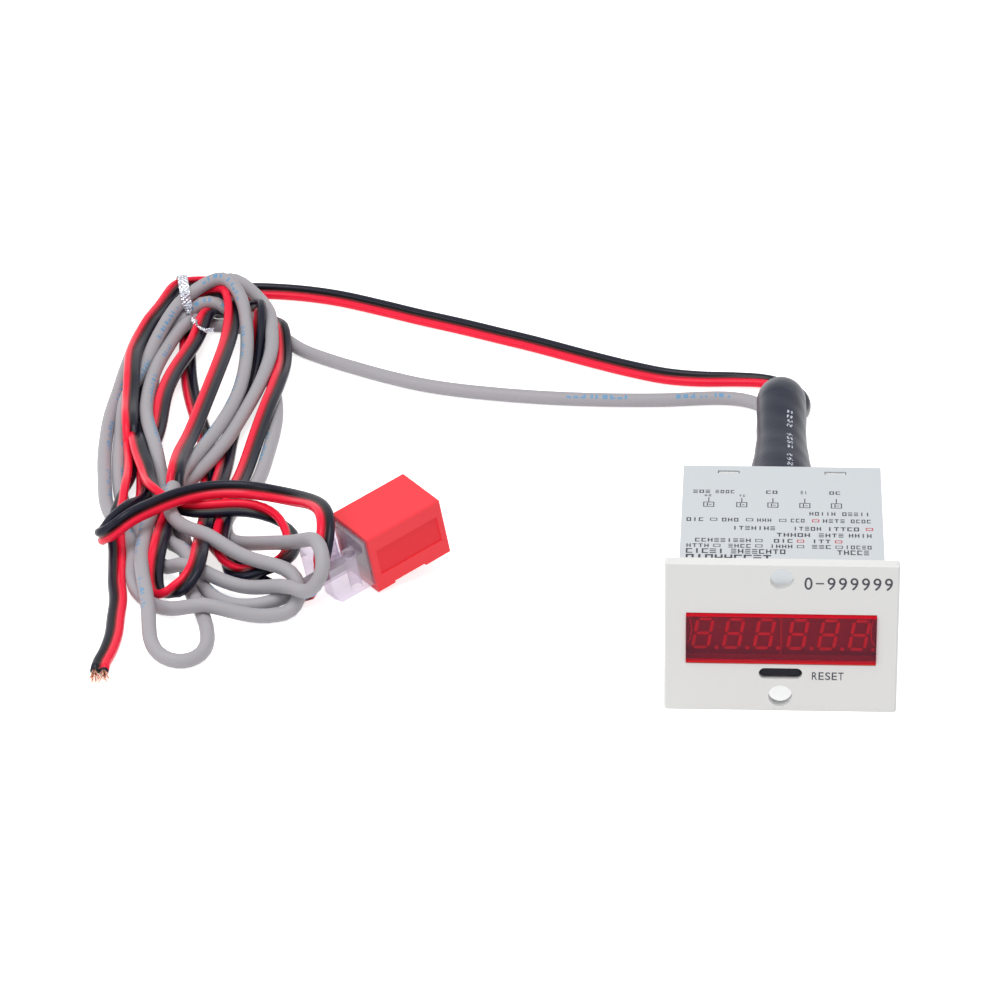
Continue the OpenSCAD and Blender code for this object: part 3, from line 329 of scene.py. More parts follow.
def settle(grey, twin, turns, grey_hold, twin_hold, rounds=900):
    """Lets both leads sink and push each other aside, drawn only weakly to their picked plan."""
    plan_draw, height_draw, sinking, last_sinking = 0.03, 0.006, 0.025, 0.01
    reach, air, firmness, grip = 7, 0.12, 0.45, 0.97
    sleeved, no_floor, twin_half = 14, -100, 1.8 * wire_r
    grey_plan, twin_plan = grey.copy(), twin.copy()
    radii = np.concatenate([np.full(len(grey), grey_r), np.full(2 * len(twin), wire_r)])
    # a point is numbered by its place along its lead, so that the two leads' numbers lie far apart
    twin_owner = lead_gap + np.arange(len(twin))
    owner = np.concatenate([np.arange(len(grey)), twin_owner, twin_owner])
    grey_low = np.where(np.arange(len(grey)) > sleeved, table_z + grey_r, no_floor)
    twin_rest = table_z + wire_r * (1 + np.abs(np.sin(turns[:, 0])))
    twin_low = np.where(np.arange(len(twin)) > sleeved, twin_rest, no_floor)
    for turn in range(rounds):
        draw = plan_draw * (1 - 0.5 * turn / rounds)
        for line, plan, hold in ((grey, grey_plan, grey_hold), (twin, twin_plan, twin_hold)):
            line += (plan - line) * [draw, draw, height_draw]
            line[:, 2] -= np.where(hold < 1, sinking if turn < 0.8 * rounds else last_sinking, 0)
            ease(line)
        for contact in range(3):
            black, red = wires(twin, turns)
            points = np.vstack([grey, black, red])
            if turn % 8 == 0 and contact == 0:
                i, j = near_pairs(points, owner, reach)
            apart = points[j] - points[i]
            short = air + radii[i] + radii[j] - np.linalg.norm(apart, axis=1)
            hit = short > 0
            a, b, apart, short = i[hit], j[hit], apart[hit], short[hit]
            # leads that cross part mostly in height
            twin_ahead = sides_of(twin)[0]
            ahead = np.vstack([sides_of(grey)[0], twin_ahead, twin_ahead])
            crossing = np.abs((ahead[a] * ahead[b]).sum(axis=1)) < 0.88
            apart[:, :2] *= np.where(crossing, 0.25, 0.8)[:, None]
            push = firmness * short[:, None] * unit(apart)
            moved = np.zeros((len(points), 3))
            met = np.zeros(len(points))
            np.add.at(moved, a, -push)
            np.add.at(moved, b, push)
            np.add.at(met, a, 1)
            np.add.at(met, b, 1)
            moved /= np.sqrt(np.maximum(met, 1))[:, None]
            n, m = len(grey), len(twin)
            grey += moved[:n] * (1 - grip * grey_hold)[:, None]
            twin += (moved[n:n + m] + moved[n + m:]) * (1 - grip * twin_hold)[:, None]
            grey[:, 2] = np.maximum(grey[:, 2], grey_low)
            twin[:, 2] = np.maximum(twin[:, 2], twin_low)
        grey += clear_of_sensor(grey, grey_r) * (1 - grey_hold)[:, None]
        twin += clear_of_sensor(twin, twin_half) * (1 - twin_hold)[:, None]
        grey += (grey_plan - grey) * grey_hold[:, None]
        twin += (twin_plan - twin) * twin_hold[:, None]
    return grey, twin


def steady(line, hold, passes=120):
    """Takes out, in the plan, the small kinks that the last contacts left in a lead."""
    free = (0.5 * (1 - hold[2:-2]))[:, None]
    for _ in range(passes):
        between = (4 * (line[1:-3, :2] + line[3:-1, :2]) - line[:-4, :2] - line[4:, :2]) / 6
        line[2:-2, :2] += free * (between - line[2:-2, :2])


grey_path = smooth_line(grey_line, point_step)
twin_path = smooth_line(twin_line, point_step)
twin_turns = np.radians(twin_path[:, 3:])
twin_path = twin_path[:, :3].copy()
grey_hold = held(grey_path, grey_run[-1], grey_tail[0])
twin_hold = held(twin_path, twin_run[-1], twin_tail[0])
grey_path, twin_path = settle(grey_path, twin_path, twin_turns, grey_hold, twin_hold)
steady(grey_path, grey_hold)
steady(twin_path, twin_hold)

# Grey sensor lead: a round three-core cable with a soft PVC jacket, extruded, and printed along
# one side in pale blue. It is held in the terminal strip and goes back into the sensor.
grey_sides = 16
jacket_grey = "#ADAAAF"
print_blue = "#689FC8"
# the print, in turns round the lead: on its upper side, and so much further round on the stretches,
# in mm from the counter, over which the printed side faces the table
print_at, print_turned, print_half = 0.15, 0.55, 0.055
turned_down = ((175, 320), (455, 530), (600, 745), (985, 1055), (1400, 1480))
# its letters and words, in mm along the lead, and the strokes that make a letter
letter_pitch, letter_length, word_pitch, word_length, stroke_pitch = 2.1, 1.428, 31, 18.6, 0.7
stroke_blank, stroke_full, ink_cover = 0.2, 0.62, 0.9


def length_along(line):
    return np.concatenate([[0], np.cumsum(np.linalg.norm(np.diff(line, axis=0), axis=1))])


def round_rings(path, radius, angles, across, above):
    """Rings of this radius round a path, from the two directions that stand across it."""
    return path[:, None] + radius * (np.cos(angles)[None, :, None] * across[:, None]
                                     + np.sin(angles)[None, :, None] * above[:, None])


def tube(name, rings, path):
    """A closed mesh swept through rings along a path, with turns and mm of length as its UV map."""
    count, sides = rings.shape[:2]
    loop, along = np.linspace(0, 1, sides + 1), length_along(path)
    mesh = bpy.data.meshes.new(name)
    points = rings.reshape(-1, 3) / 1000
    faces = [(i * sides + k, i * sides + (k + 1) % sides, (i + 1) * sides + (k + 1) % sides,
              (i + 1) * sides + k) for i in range(count - 1) for k in range(sides)]
    faces += [tuple(range(sides))[::-1], tuple(range((count - 1) * sides, count * sides))]
    mesh.from_pydata(points.tolist(), [], faces)
    uv = mesh.uv_layers.new(name="along").data
    for face in mesh.polygons:
        for corner, vertex in zip(face.loop_indices, face.vertices):
            k = vertex % sides
            if face.index < (count - 1) * sides and k == 0 and face.index % sides == sides - 1:
                k = sides
            uv[corner].uv = (loop[k], along[vertex // sides])
    mesh.shade_smooth()
    piece = bpy.data.objects.new(name, mesh)
    bpy.context.scene.collection.objects.link(piece)
    return piece


def grain(material, size_mm, height_mm):
    """Fine bumps, as a mould or a die leaves them. Real ones are a few hundredths of a mm wide,
    too fine to show, so they are drawn coarser."""
    place = add(material, "ShaderNodeTexCoord")
    noise = add(material, "ShaderNodeTexNoise",
                {"Scale": 1000 / size_mm, "Detail": 3, "Vector": place.outputs["Object"]})
    bump = add(material, "ShaderNodeBump", {"Strength": 1, "Distance": height_mm / 1000, "Height": noise})
    feed(material, "Normal", bump.outputs[0])


def two_colours(material, share, low, high):
    """A colour that goes from low to high as the share goes from 0 to 1."""
    return add(material, "ShaderNodeMix", {0: share, 6: colour(low), 7: colour(high)},
               data_type="RGBA").outputs[2]


def repeats(material, along, pitch, length):
    """1 over the first length of each pitch along a piece, else 0."""
    start = add(material, "ShaderNodeMath", {0: along, 1: pitch}, operation="MODULO")
    return add(material, "ShaderNodeMath", {0: start, 1: length}, operation="LESS_THAN")


def product(material, first, *others):
    """All of these multiplied, so that marks show only where each of them is above 0."""
    for other in others:
        first = add(material, "ShaderNodeMath", {0: first, 1: other}, operation="MULTIPLY")
    return first


ahead, left, above = sides_of(grey_path)
angles = np.linspace(0, 2 * np.pi, grey_sides, endpoint=False)
grey_lead = tube("grey_lead", round_rings(grey_path, grey_r, angles, left, above), grey_path)
# soft PVC straight from the die: an even grey with a broad, dull sheen
grey_pvc = surface("grey_pvc_jacket_extruded", jacket_grey, 0.5, {"Specular IOR Level": 0.3})
grain(grey_pvc, 0.5, 0.012)
place = add(grey_pvc, "ShaderNodeUVMap", uv_map="along")
parts = add(grey_pvc, "ShaderNodeSeparateXYZ", {0: place})
round_lead, along_lead = parts.outputs[0], parts.outputs[1]
face_down = 0
for start, end in turned_down:
    within = add(grey_pvc, "ShaderNodeMath", {0: along_lead, 1: (start + end) / 2, 2: (end - start) / 2},
                 operation="COMPARE")
    face_down = add(grey_pvc, "ShaderNodeMath", {0: face_down, 1: within}, operation="ADD")
band_at = add(grey_pvc, "ShaderNodeMath", {0: face_down, 1: print_turned, 2: print_at},
              operation="MULTIPLY_ADD")
in_band = add(grey_pvc, "ShaderNodeMath", {0: round_lead, 1: band_at, 2: print_half}, operation="COMPARE")
in_letter = repeats(grey_pvc, along_lead, letter_pitch, letter_length)
in_word = repeats(grey_pvc, along_lead, word_pitch, word_length)
strokes = add(grey_pvc, "ShaderNodeMath", {0: along_lead, 1: stroke_pitch}, operation="DIVIDE")
stroke = add(grey_pvc, "ShaderNodeMath", {0: strokes}, operation="FLOOR")
chance = add(grey_pvc, "ShaderNodeTexWhiteNoise", noise_dimensions="1D")
grey_pvc.node_tree.links.new(stroke.outputs[0], chance.inputs["W"])
# each stroke is blank, full or only in the lower half of the band
inked = add(grey_pvc, "ShaderNodeMath", {0: chance, 1: stroke_blank}, operation="GREATER_THAN")
half = add(grey_pvc, "ShaderNodeMath", {0: chance, 1: stroke_full}, operation="GREATER_THAN")
upper = add(grey_pvc, "ShaderNodeMath", {0: round_lead, 1: band_at}, operation="GREATER_THAN")
left_out = product(grey_pvc, half, upper)
drawn = add(grey_pvc, "ShaderNodeMath", {0: inked, 1: left_out}, operation="SUBTRACT")
ink = product(grey_pvc, in_band, in_letter, in_word, drawn, ink_cover)
feed(grey_pvc, "Base Color", two_colours(grey_pvc, ink, jacket_grey, print_blue))
grey_lead.data.materials.append(grey_pvc)
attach(grey_lead, "counter")
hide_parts("grey_lead_run", "grey_lead_tail", "lead_hank")

# Red and black twin supply lead: two stranded wires whose glossy PVC is extruded side by side and
# joined by a thin web. It is held in the terminal strip, and its far end is cut and stripped.
web_at = 146
# how far round each wire the painted shade by the web begins, and how fast it deepens
web_shade_from, web_shade_slope = 0.87, 9
arc = np.radians(np.linspace(-web_at, web_at, 11))
outline = np.concatenate([np.column_stack([wire_r + wire_r * np.cos(arc), wire_r * np.sin(arc)]),
                          np.column_stack([-wire_r - wire_r * np.cos(arc), -wire_r * np.sin(arc)])])
ahead, left, above = sides_of(twin_path)
wide = np.cos(twin_turns) * left + np.sin(twin_turns) * above
tall = np.cross(ahead, wide)
rings = (twin_path[:, None] + outline[None, :, :1] * wide[:, None] + outline[None, :, 1:] * tall[:, None])
twin_lead = tube("twin_lead", rings, twin_path)


def wire_pvc(name, plain, painted_web_shade):
    """Hard PVC of one wire: glossy, with painted shade that darkens it towards the web."""
    material = surface(name, plain, 0.3, {"Specular IOR Level": 0.23})
    grain(material, 0.6, 0.01)
    place = add(material, "ShaderNodeUVMap", uv_map="along")
    parts = add(material, "ShaderNodeSeparateXYZ", {0: place})
    angle = product(material, parts.outputs[0], 2 * math.pi)
    turned = add(material, "ShaderNodeMath", {0: angle}, operation="COSINE")
    to_web = add(material, "ShaderNodeMath", {0: turned}, operation="ABSOLUTE")
    depth = add(material, "ShaderNodeMath", {0: to_web, 1: web_shade_from}, operation="SUBTRACT")
    share = product(material, depth, web_shade_slope)
    feed(material, "Base Color", two_colours(material, share, plain, painted_web_shade))
    return material


# each wire's own colour, and the darker colour of its painted shade by the web
twin_lead.data.materials.append(wire_pvc("black_pvc_extruded", "#141528", "#050509"))
twin_lead.data.materials.append(wire_pvc("red_pvc_extruded", "#FB1A3F", "#78020E"))
for face in twin_lead.data.polygons:
    face.material_index = int(face.index % len(outline) >= len(outline) // 2)
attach(twin_lead, "counter")
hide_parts("twin_lead_run", "twin_lead_tail")

# Stripped ends of the supply lead: the two wires are slit apart near the end, and a bunch of fine
# drawn copper strands, left splayed where the insulation was pulled off, stands out of each.
strand_r = 0.15
strand_length = 4.8
strand_count = 15
strand_sides = 6
bundle_r = 0.66


def join(pieces):
    """Makes one piece of these, under the first one's name."""
    bpy.ops.object.select_all(action="DESELECT")
    for piece in pieces:
        piece.select_set(True)
    bpy.context.view_layer.objects.active = pieces[0]
    bpy.ops.object.join()
    return pieces[0]


random.seed(4)
strands = []
around = np.linspace(0, 2 * np.pi, strand_sides, endpoint=False)
for end in [wire[-1] for wire in wires(twin_path, twin_turns)]:
    for k in range(strand_count):
        out = bundle_r * math.sqrt(k / (strand_count - 1))
        angle = 2.4 * k
        start = end + np.array([out * math.cos(angle), 0.3, out * math.sin(angle)])
        splay = np.array([1.6 * out * math.cos(angle) + random.uniform(-0.6, 1.3), 0,
                          0.9 * out * math.sin(angle) + random.uniform(-0.3, 0.3)])
        steps = np.linspace(0, 1, 7)[:, None]
        path = start + steps * [0, -strand_length * random.uniform(0.7, 1.05), 0] + steps ** 2 * splay
        path[:, 2] = np.maximum(path[:, 2], table_z + strand_r)
        ahead, left, above = sides_of(path)
        strands.append(tube("copper_strands", round_rings(path, strand_r, around, left, above), path))
copper_strands = join(strands)
# drawn wire, a little dulled by air: warm pink metal with soft highlights
copper_strands.data.materials.append(surface("bare_drawn_copper", "#E8B49C", 0.35, {"Metallic": 0.9}))
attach(copper_strands, "counter")
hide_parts("copper_ends")

# Twist tie: a strip of aluminium foil bent over the top of the loops, crinkled by hand, its two
# ends twisted together in front of them into a short tail.
tie_half_width = 1.5
tie_step = 0.4
twisted_from = 0.6
foil_thickness = 0.00012
tie_path = smooth_line([(-181, 236.5, -19), (-180.6, 234.5, -15), (-180, 231.5, -12.6), (-178.8, 224, -10.2),
                        (-177.5, 216, -9), (-176.9, 213, -9.8), (-176.4, 211.8, -12), (-175.4, 210, -14),
                        (-173.8, 206, -14.4), (-171.5, 199.5, -13.6), (-169.5, 197.5, -13.8),
                        (-167, 198.2, -14)], tie_step)
bpy.ops.object.select_all(action="DESELECT")
bpy.ops.mesh.primitive_grid_add(x_subdivisions=len(tie_path) - 1, y_subdivisions=8, size=1)
twist_tie = bpy.context.object
twist_tie.name = "foil_twist_tie"
ahead, left, above = sides_of(tie_path)
rows = len(tie_path)
for vertex in twist_tie.data.vertices:
    i = round((vertex.co.x + 0.5) * (rows - 1))
    share = i / (rows - 1)
    gathered = 0.6 * min(1, max(0, (share - twisted_from) / 0.1))
    half_width = tie_half_width - gathered - 1.5 * max(0, share - 0.8)
    twist = 6 * math.pi * max(0, share - twisted_from)
    crinkle = 0.16 * math.sin(9.1 * vertex.co.y + 2.3 * i) + 0.13 * math.sin(4.7 * vertex.co.y - 1.1 * i)
    flat = 2 * vertex.co.y * half_width
    side = flat * math.cos(twist) - crinkle * math.sin(twist)
    lift = flat * math.sin(twist) + crinkle * math.cos(twist)
    vertex.co = Vector(tie_path[i] + side * left[i] + lift * above[i]) / 1000
thick = twist_tie.modifiers.new("foil", "SOLIDIFY")
thick.thickness = foil_thickness
bpy.ops.object.modifier_apply(modifier="foil")
# rolled foil crumpled by hand: bright metal whose small facets each catch other light
foil = surface("crinkled_aluminium_foil", "#C4C7D0", 0.22, {"Metallic": 1})
grain(foil, 0.8, 0.2)
twist_tie.data.materials.append(foil)
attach(twist_tie, "counter")
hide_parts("twist_tie")

# Housing: bezel and case moulded in one from white ABS. The bezel is a warm white; the case behind
# it looks cooler, and both have the fine satin of a spark-eroded mould.
bezel_back_y = 0.0001
bezel_white = "#E9E9E8"
case_white = "#D1D6DA"


def dress(node, material):
    """Gives a CAD piece its material."""
    piece = bpy.data.objects[node]
    piece.data.materials.clear()
    piece.data.materials.append(material)
    return piece


def place_on(material):
    """The place on a piece, as three outputs in metres."""
    place = add(material, "ShaderNodeTexCoord")
    return add(material, "ShaderNodeSeparateXYZ", {0: place.outputs["Object"]}).outputs


white_abs = surface("white_abs_moulded", bezel_white, 0.42, {"Specular IOR Level": 0.35})
grain(white_abs, 0.35, 0.006)
behind = add(white_abs, "ShaderNodeMath", {0: place_on(white_abs)[1], 1: bezel_back_y},
             operation="GREATER_THAN")
feed(white_abs, "Base Color", two_colours(white_abs, behind, bezel_white, case_white))
dress("housing", white_abs)

# Rear cover: a separate white ABS moulding that snaps into the case, a touch greyer. It comes from
# a mould like the case's and has the same fine satin.
cover_abs = surface("cover_abs_moulded", "#E2E3E1", 0.45, {"Specular IOR Level": 0.35})
grain(cover_abs, 0.35, 0.006)
dress("rear_cover", cover_abs)

# Wiring print on the case's upper side: rows of plain strokes, terminal boxes and tick boxes, laid
# on in dark and red ink by pad printing, and read from the rear.
case_top_z = 13.8
case_lean = 0.3 / 65.6
ink_t = 0.04
letter_gap = 0.42
letter_shape = 0.62
# each row: its place behind the bezel, the height of its letters, and where its words start and end
print_rows = ((50.9, 1.7, ((-23.5, -18.6), (-17.6, -12.2), (-4.2, -0.8), (4.9, 7.0), (12.5, 15.8))),
              (48.7, 1.1, ((-20.4, -18.3), (-11.3, -9.3))),
              (39.2, 1.9, ((7.2, 14.4), (15.8, 23.4))),
              (35.3, 1.9, ((-25.0, -20.2), (-15.7, -11.0), (-6.5, -2.4), (2.3, 6.3), (10.7, 16.8),
                           (18.0, 23.6))),
              (30.9, 2.0, ((-12.9, -1.4), (2.9, 10.6), (11.8, 20.5))),
              (27.4, 2.0, ((-1.4, 7.7), (9.6, 16.4), (17.4, 23.7))),
              (24.1, 1.9, ((-22.6, -7.7), (-2.1, 3.2), (7.8, 13.0))),
              (21.1, 1.9, ((-24.8, -18.6), (-13.9, -7.7), (-3.1, 3.1), (7.8, 13.1), (16.4, 23.6))),
              (18.2, 2.4, ((-24.9, -14.6), (-13.2, 1.3), (14.3, 22.9))), (14.7, 3.2, ((-24.9, -2.4),)))
dark_ticks = ((-17.9, 35.4), (-8.5, 35.4), (0.2, 35.3), (-6.0, 24.1), (-16.9, 21.2), (-6.0, 21.2),
              (4.8, 21.1), (14.8, 21.1))
red_ticks = ((8.8, 35.3), (22.8, 31.0), (4.8, 24.1), (14.7, 24.0))
tick_size = (1.9, 1.5)
terminal_x = (-19.3, -10.6, -2.4, 6.0, 14.3)
terminal_y = 43.7
terminal_size = (2.9, 2.7)
# strokes of a stand-in letter, as shares of its width and height
motifs = (((0, 0, 0.26, 1), (0.74, 0, 1, 1), (0, 0.4, 1, 0.58)),
          ((0, 0, 0.26, 1), (0, 0, 1, 0.18), (0, 0.82, 1, 1)),
          ((0, 0.82, 1, 1), (0.38, 0, 0.64, 1)),
          ((0, 0, 1, 0.18), (0, 0.42, 1, 0.6), (0, 0.84, 1, 1)),
          ((0, 0, 0.26, 1), (0.74, 0, 1, 1), (0, 0, 1, 0.18), (0, 0.82, 1, 1)),
          ((0.36, 0, 0.64, 1),))


def printed(name, marks, material):
    """A thin layer of ink on the upper side of the case, from rectangles in mm."""
    mesh = bpy.data.meshes.new(name)
    points, faces = [], []
    for x0, y0, x1, y1 in marks:
        n = len(points)
        for level in (0, ink_t):
            for x, y in ((x0, y0), (x1, y0), (x1, y1), (x0, y1)):
                points.append((x / 1000, y / 1000, (case_top_z - case_lean * y + level) / 1000))
        faces += [(n + 4, n + 5, n + 6, n + 7), (n + 3, n + 2, n + 1, n)]
        faces += [(n + k, n + (k + 1) % 4, n + 4 + (k + 1) % 4, n + 4 + k) for k in range(4)]
    mesh.from_pydata(points, [], faces)
    piece = bpy.data.objects.new(name, mesh)
    bpy.context.scene.collection.objects.link(piece)
    mesh.materials.append(material)
    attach(piece, "counter")


def box_outline(x, y, size, line):
    """Four strokes of a box outline about x, y."""
    wide, deep = size
    return [(x - wide / 2, y - deep / 2, x + wide / 2, y - deep / 2 + line),
            (x - wide / 2, y + deep / 2 - line, x + wide / 2, y + deep / 2),
            (x - wide / 2, y - deep / 2 + line, x - wide / 2 + line, y + deep / 2 - line),
            (x + wide / 2 - line, y - deep / 2 + line, x + wide / 2, y + deep / 2 - line)]


random.seed(11)
dark_marks = []
for y, high, words in print_rows:
    for start, stop in words:
        letters = max(2, round((stop - start) / (letter_shape * high + letter_gap)))
        pitch = (stop - start) / letters
        wide = pitch - letter_gap
        for k in range(letters):
            x = start + k * pitch
            for a, b, c, d in random.choice(motifs):
                dark_marks.append((x + a * wide, y + (b - 0.5) * high, x + c * wide, y + (d - 0.5) * high))
for x in terminal_x:
    dark_marks += box_outline(x, terminal_y, terminal_size, 0.26)
    dark_marks += [(x - 0.13, 45.1, x + 0.13, 47.5), (x - 0.5, 42.9, x - 0.2, 44.5),
                   (x + 0.1, 43.5, x + 0.7, 43.8)]
for x, y in dark_ticks:
    dark_marks += box_outline(x, y, tick_size, 0.22)
red_marks = [mark for x, y in red_ticks for mark in box_outline(x, y, tick_size, 0.26)]
# pad-printing inks dry in a thin matt film: flat colour with no shine of its own
dark_ink = surface("dark_pad_printing_ink", "#3C3D48", 0.6)
red_ink = surface("red_pad_printing_ink", "#C23A48", 0.6)
printed("case_print_dark", dark_marks, dark_ink)
printed("case_print_red", red_marks, red_ink)

# Lettering on the bezel: dark pad printing, the button's name beside it and the range of the count
# at the upper right, in upright letters of equal width.
bezel_front_y = -2.8
dash_low, dash_high = 0.46, 0.1


def lettered(name, words, x0, x1, z0, high, fill):
    """Flat printed letters of one width on the bezel's face between x0 and x1, on z0, in mm."""
    letters = []
    pitch = (x1 - x0) / (len(words) - 1 + fill)
    for k, letter in enumerate(words):
        bpy.ops.object.select_all(action="DESELECT")
        bpy.ops.object.text_add(rotation=(math.pi / 2, 0, 0))
        piece = bpy.context.object
        piece.name = name
        piece.data.body = letter
        piece.data.size = 1
        piece.data.offset = 0.004
        piece.data.extrude = 0.02
        piece.data.resolution_u = 4
        bpy.ops.object.convert(target="MESH")
        piece = bpy.context.object
        corners = [vertex.co.copy() for vertex in piece.data.vertices]
        low = [min(corner[axis] for corner in corners) for axis in range(3)]
        span = [max(corner[axis] for corner in corners) - low[axis] for axis in range(3)]
        for vertex in piece.data.vertices:
            share = [(vertex.co[axis] - low[axis]) / span[axis] for axis in range(3)]
            x = x0 + (k + fill * share[0]) * pitch
            y = bezel_front_y - ink_t * share[2]
            height = dash_low * high + dash_high * high * share[1] if letter == "-" else high * share[1]
            vertex.co = Vector((x, y, z0 + height)) / 1000
        piece.matrix_world = Matrix()
        letters.append(piece)
    word = join(letters)
    word.data.materials.clear()
    word.data.materials.append(dark_ink)
    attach(word, "counter")


lettered("reset_name", "RESET", x0=8.1, x1=16.2, z0=-12.2, high=2.25, fill=0.78)
lettered("count_range", "0-999999", x0=5.7, x1=28.2, z0=14.4, high=3.6, fill=0.7)

# Window: a pad of red transparent acrylic, injection moulded and pressed into the bezel. Its
# polished mould leaves it clear and glossy, so that the displays show through it in deep red. Its
# bevelled edges and lower rim get a painted glow, a flat red coat that stands in for the light the
# acrylic carries out there, brighter on the bevels that face down.
acrylic_ior = 1.49
rim_top_z = -0.0061
red_acrylic = bpy.data.materials.new("red_acrylic_moulded")
red_acrylic.use_nodes = True
acrylic_nodes = red_acrylic.node_tree.nodes
acrylic_nodes.remove(acrylic_nodes["Principled BSDF"])
seen_through = add(red_acrylic, "ShaderNodeBsdfRefraction",
                   {"Color": colour("#FC1E2C"), "IOR": acrylic_ior, "Roughness": 0})
lit_through = add(red_acrylic, "ShaderNodeBsdfTransparent", {"Color": colour("#FF3A48")})
ray = add(red_acrylic, "ShaderNodeLightPath")
lighting = add(red_acrylic, "ShaderNodeMath",
               {0: ray.outputs["Is Shadow Ray"], 1: ray.outputs["Is Diffuse Ray"]}, operation="MAXIMUM")
clear = add(red_acrylic, "ShaderNodeMixShader", {0: lighting, 1: seen_through, 2: lit_through})
cloud = add(red_acrylic, "ShaderNodeBsdfDiffuse", {"Color": colour("#A01C70")})
body = add(red_acrylic, "ShaderNodeMixShader", {0: 0.09, 1: clear, 2: cloud})
gloss = add(red_acrylic, "ShaderNodeBsdfGlossy", {"Roughness": 0.1, "Color": (1, 1, 1, 1)})
facing = add(red_acrylic, "ShaderNodeFresnel", {"IOR": acrylic_ior})
polished = add(red_acrylic, "ShaderNodeMixShader",
               {0: product(red_acrylic, facing, 0.3), 1: body, 2: gloss})
# painted glow on the bevels: faces that don't look to the front get a flat red coat, lighter where they face
# down
sides = add(red_acrylic, "ShaderNodeNewGeometry")
normal = add(red_acrylic, "ShaderNodeSeparateXYZ", {0: sides.outputs["True Normal"]})
frontal = add(red_acrylic, "ShaderNodeMath", {0: normal.outputs[1]}, operation="ABSOLUTE")
on_bevel = add(red_acrylic, "ShaderNodeMath", {0: frontal, 1: 0.9}, operation="LESS_THAN")
below = add(red_acrylic, "ShaderNodeMath", {0: normal.outputs[2], 1: 0}, operation="LESS_THAN")
painted_bevel_glow = add(red_acrylic, "ShaderNodeBsdfDiffuse",
           {"Color": two_colours(red_acrylic, below, "#DC1A2A", "#FF4630")})
edged = add(red_acrylic, "ShaderNodeMixShader",
            {0: product(red_acrylic, on_bevel, 0.8), 1: polished, 2: painted_bevel_glow})
# painted glow on the lower rim: below the rim's top a flat red coat is mixed in
in_rim = add(red_acrylic, "ShaderNodeMath", {0: place_on(red_acrylic)[2], 1: rim_top_z},
             operation="LESS_THAN")
painted_rim_glow = add(red_acrylic, "ShaderNodeBsdfDiffuse", {"Color": colour("#D8202C")})
window = add(red_acrylic, "ShaderNodeMixShader", {0: product(red_acrylic, in_rim, 0.6), 1: edged, 2: painted_rim_glow})
red_acrylic.node_tree.links.new(window.outputs[0], acrylic_nodes["Material Output"].inputs["Surface"])
dress("display_window", red_acrylic)

# Displays: two three-digit blocks, cast in white epoxy, with a grey face screen printed over it.
# The paint is dull and the shell smoother, and the unlit segments, white too, show through the window.
display_paint = surface("grey_screen_printed_face", "#7C7078", 0.5)
display_shell = surface("white_epoxy_cast_shell", "#F4F2F0", 0.4)
for node in ("display_left", "display_right"):
    display = dress(node, display_shell)
    display.data.materials.append(display_paint)
    front = min(vertex.co.y for vertex in display.data.vertices)
    for face in display.data.polygons:
        if face.normal.y < -0.9 and face.center.y - front < 0.00005:
            face.material_index = 1

# Seam between the two displays: a bead of the white casting resin that stands between the blocks
# where they meet. It shows through the window as a fine light line.
seam_width, seam_depth, seam_margin, seam_round = 0.00036, 0.0004, 0.0004, 0.0001
low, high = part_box("display_left")
bpy.ops.object.select_all(action="DESELECT")
bpy.ops.mesh.primitive_cube_add(size=1, location=(0, low[1] + 0.0002, (low[2] + high[2]) / 2))
seam = bpy.context.object
seam.name = "display_seam"
seam.scale = (seam_width, seam_depth, high[2] - low[2] - seam_margin)
bpy.ops.object.transform_apply(location=True, rotation=True, scale=True)
rounded = seam.modifiers.new("rounded", "BEVEL")
rounded.width = seam_round
rounded.segments = 2
bpy.ops.object.modifier_apply(modifier="rounded")
seam.data.materials.append(display_shell)
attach(seam, "counter")

# Half-round ribs at the outer ends of the displays, cast in one with their shells from the same
# white epoxy. Only their thin curves show through the window.
rib_r = 0.2
rib_end, rib_bulge, rib_middle, rib_reach = 24.3, 1.2, 0.7, 3.9
rib_y = low[1] * 1000 + 0.05
swing = np.radians(np.linspace(-90, 90, 15))
rib_angles = np.radians(np.arange(0, 360, 45))
for side, name in ((-1, "display_rib_left"), (1, "display_rib_right")):
    middle = np.column_stack([side * (rib_end - rib_bulge * np.cos(swing)), np.full(len(swing), rib_y),
                              rib_middle + rib_reach * np.sin(swing)])
    ahead = unit(np.gradient(middle, axis=0))
    out = np.cross([0, 1, 0], ahead)
    rib = tube(name, round_rings(middle, rib_r, rib_angles, out, np.array([[0, 1, 0]])), middle)
    rib.data.materials.append(display_shell)
    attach(rib, "counter")

# Reset button and the plunger behind it: black ABS mouldings, the button loose in its slot in the
# bezel. A textured mould leaves them satin, with only a faint highlight.
black_abs = surface("black_abs_moulded", "#1A1A24", 0.4, {"Specular IOR Level": 0.15})
grain(black_abs, 0.4, 0.01)
dress("reset_button", black_abs)
dress("switch_plunger", black_abs)

# Cable sleeve: black heat-shrink tubing drawn over the collar and both leads, flared where it grips
# the collar, with a row of white printed marks along its upper side.
sleeve_root_r, sleeve_r, sleeve_wall = 9.3, 6.9, 0.8
sleeve_start, bend_start, sleeve_step = 65.9, 125, 1.2
bend_r = 20
bend_end, bend_step = 60, 3
flare_start, flare_length = 69.6, 40
mouth_draw = (0.08, 0.22, 0.5)
sleeve_sides = 40
sleeve_black, mark_white = "#262B3B", "#C9CEDB"
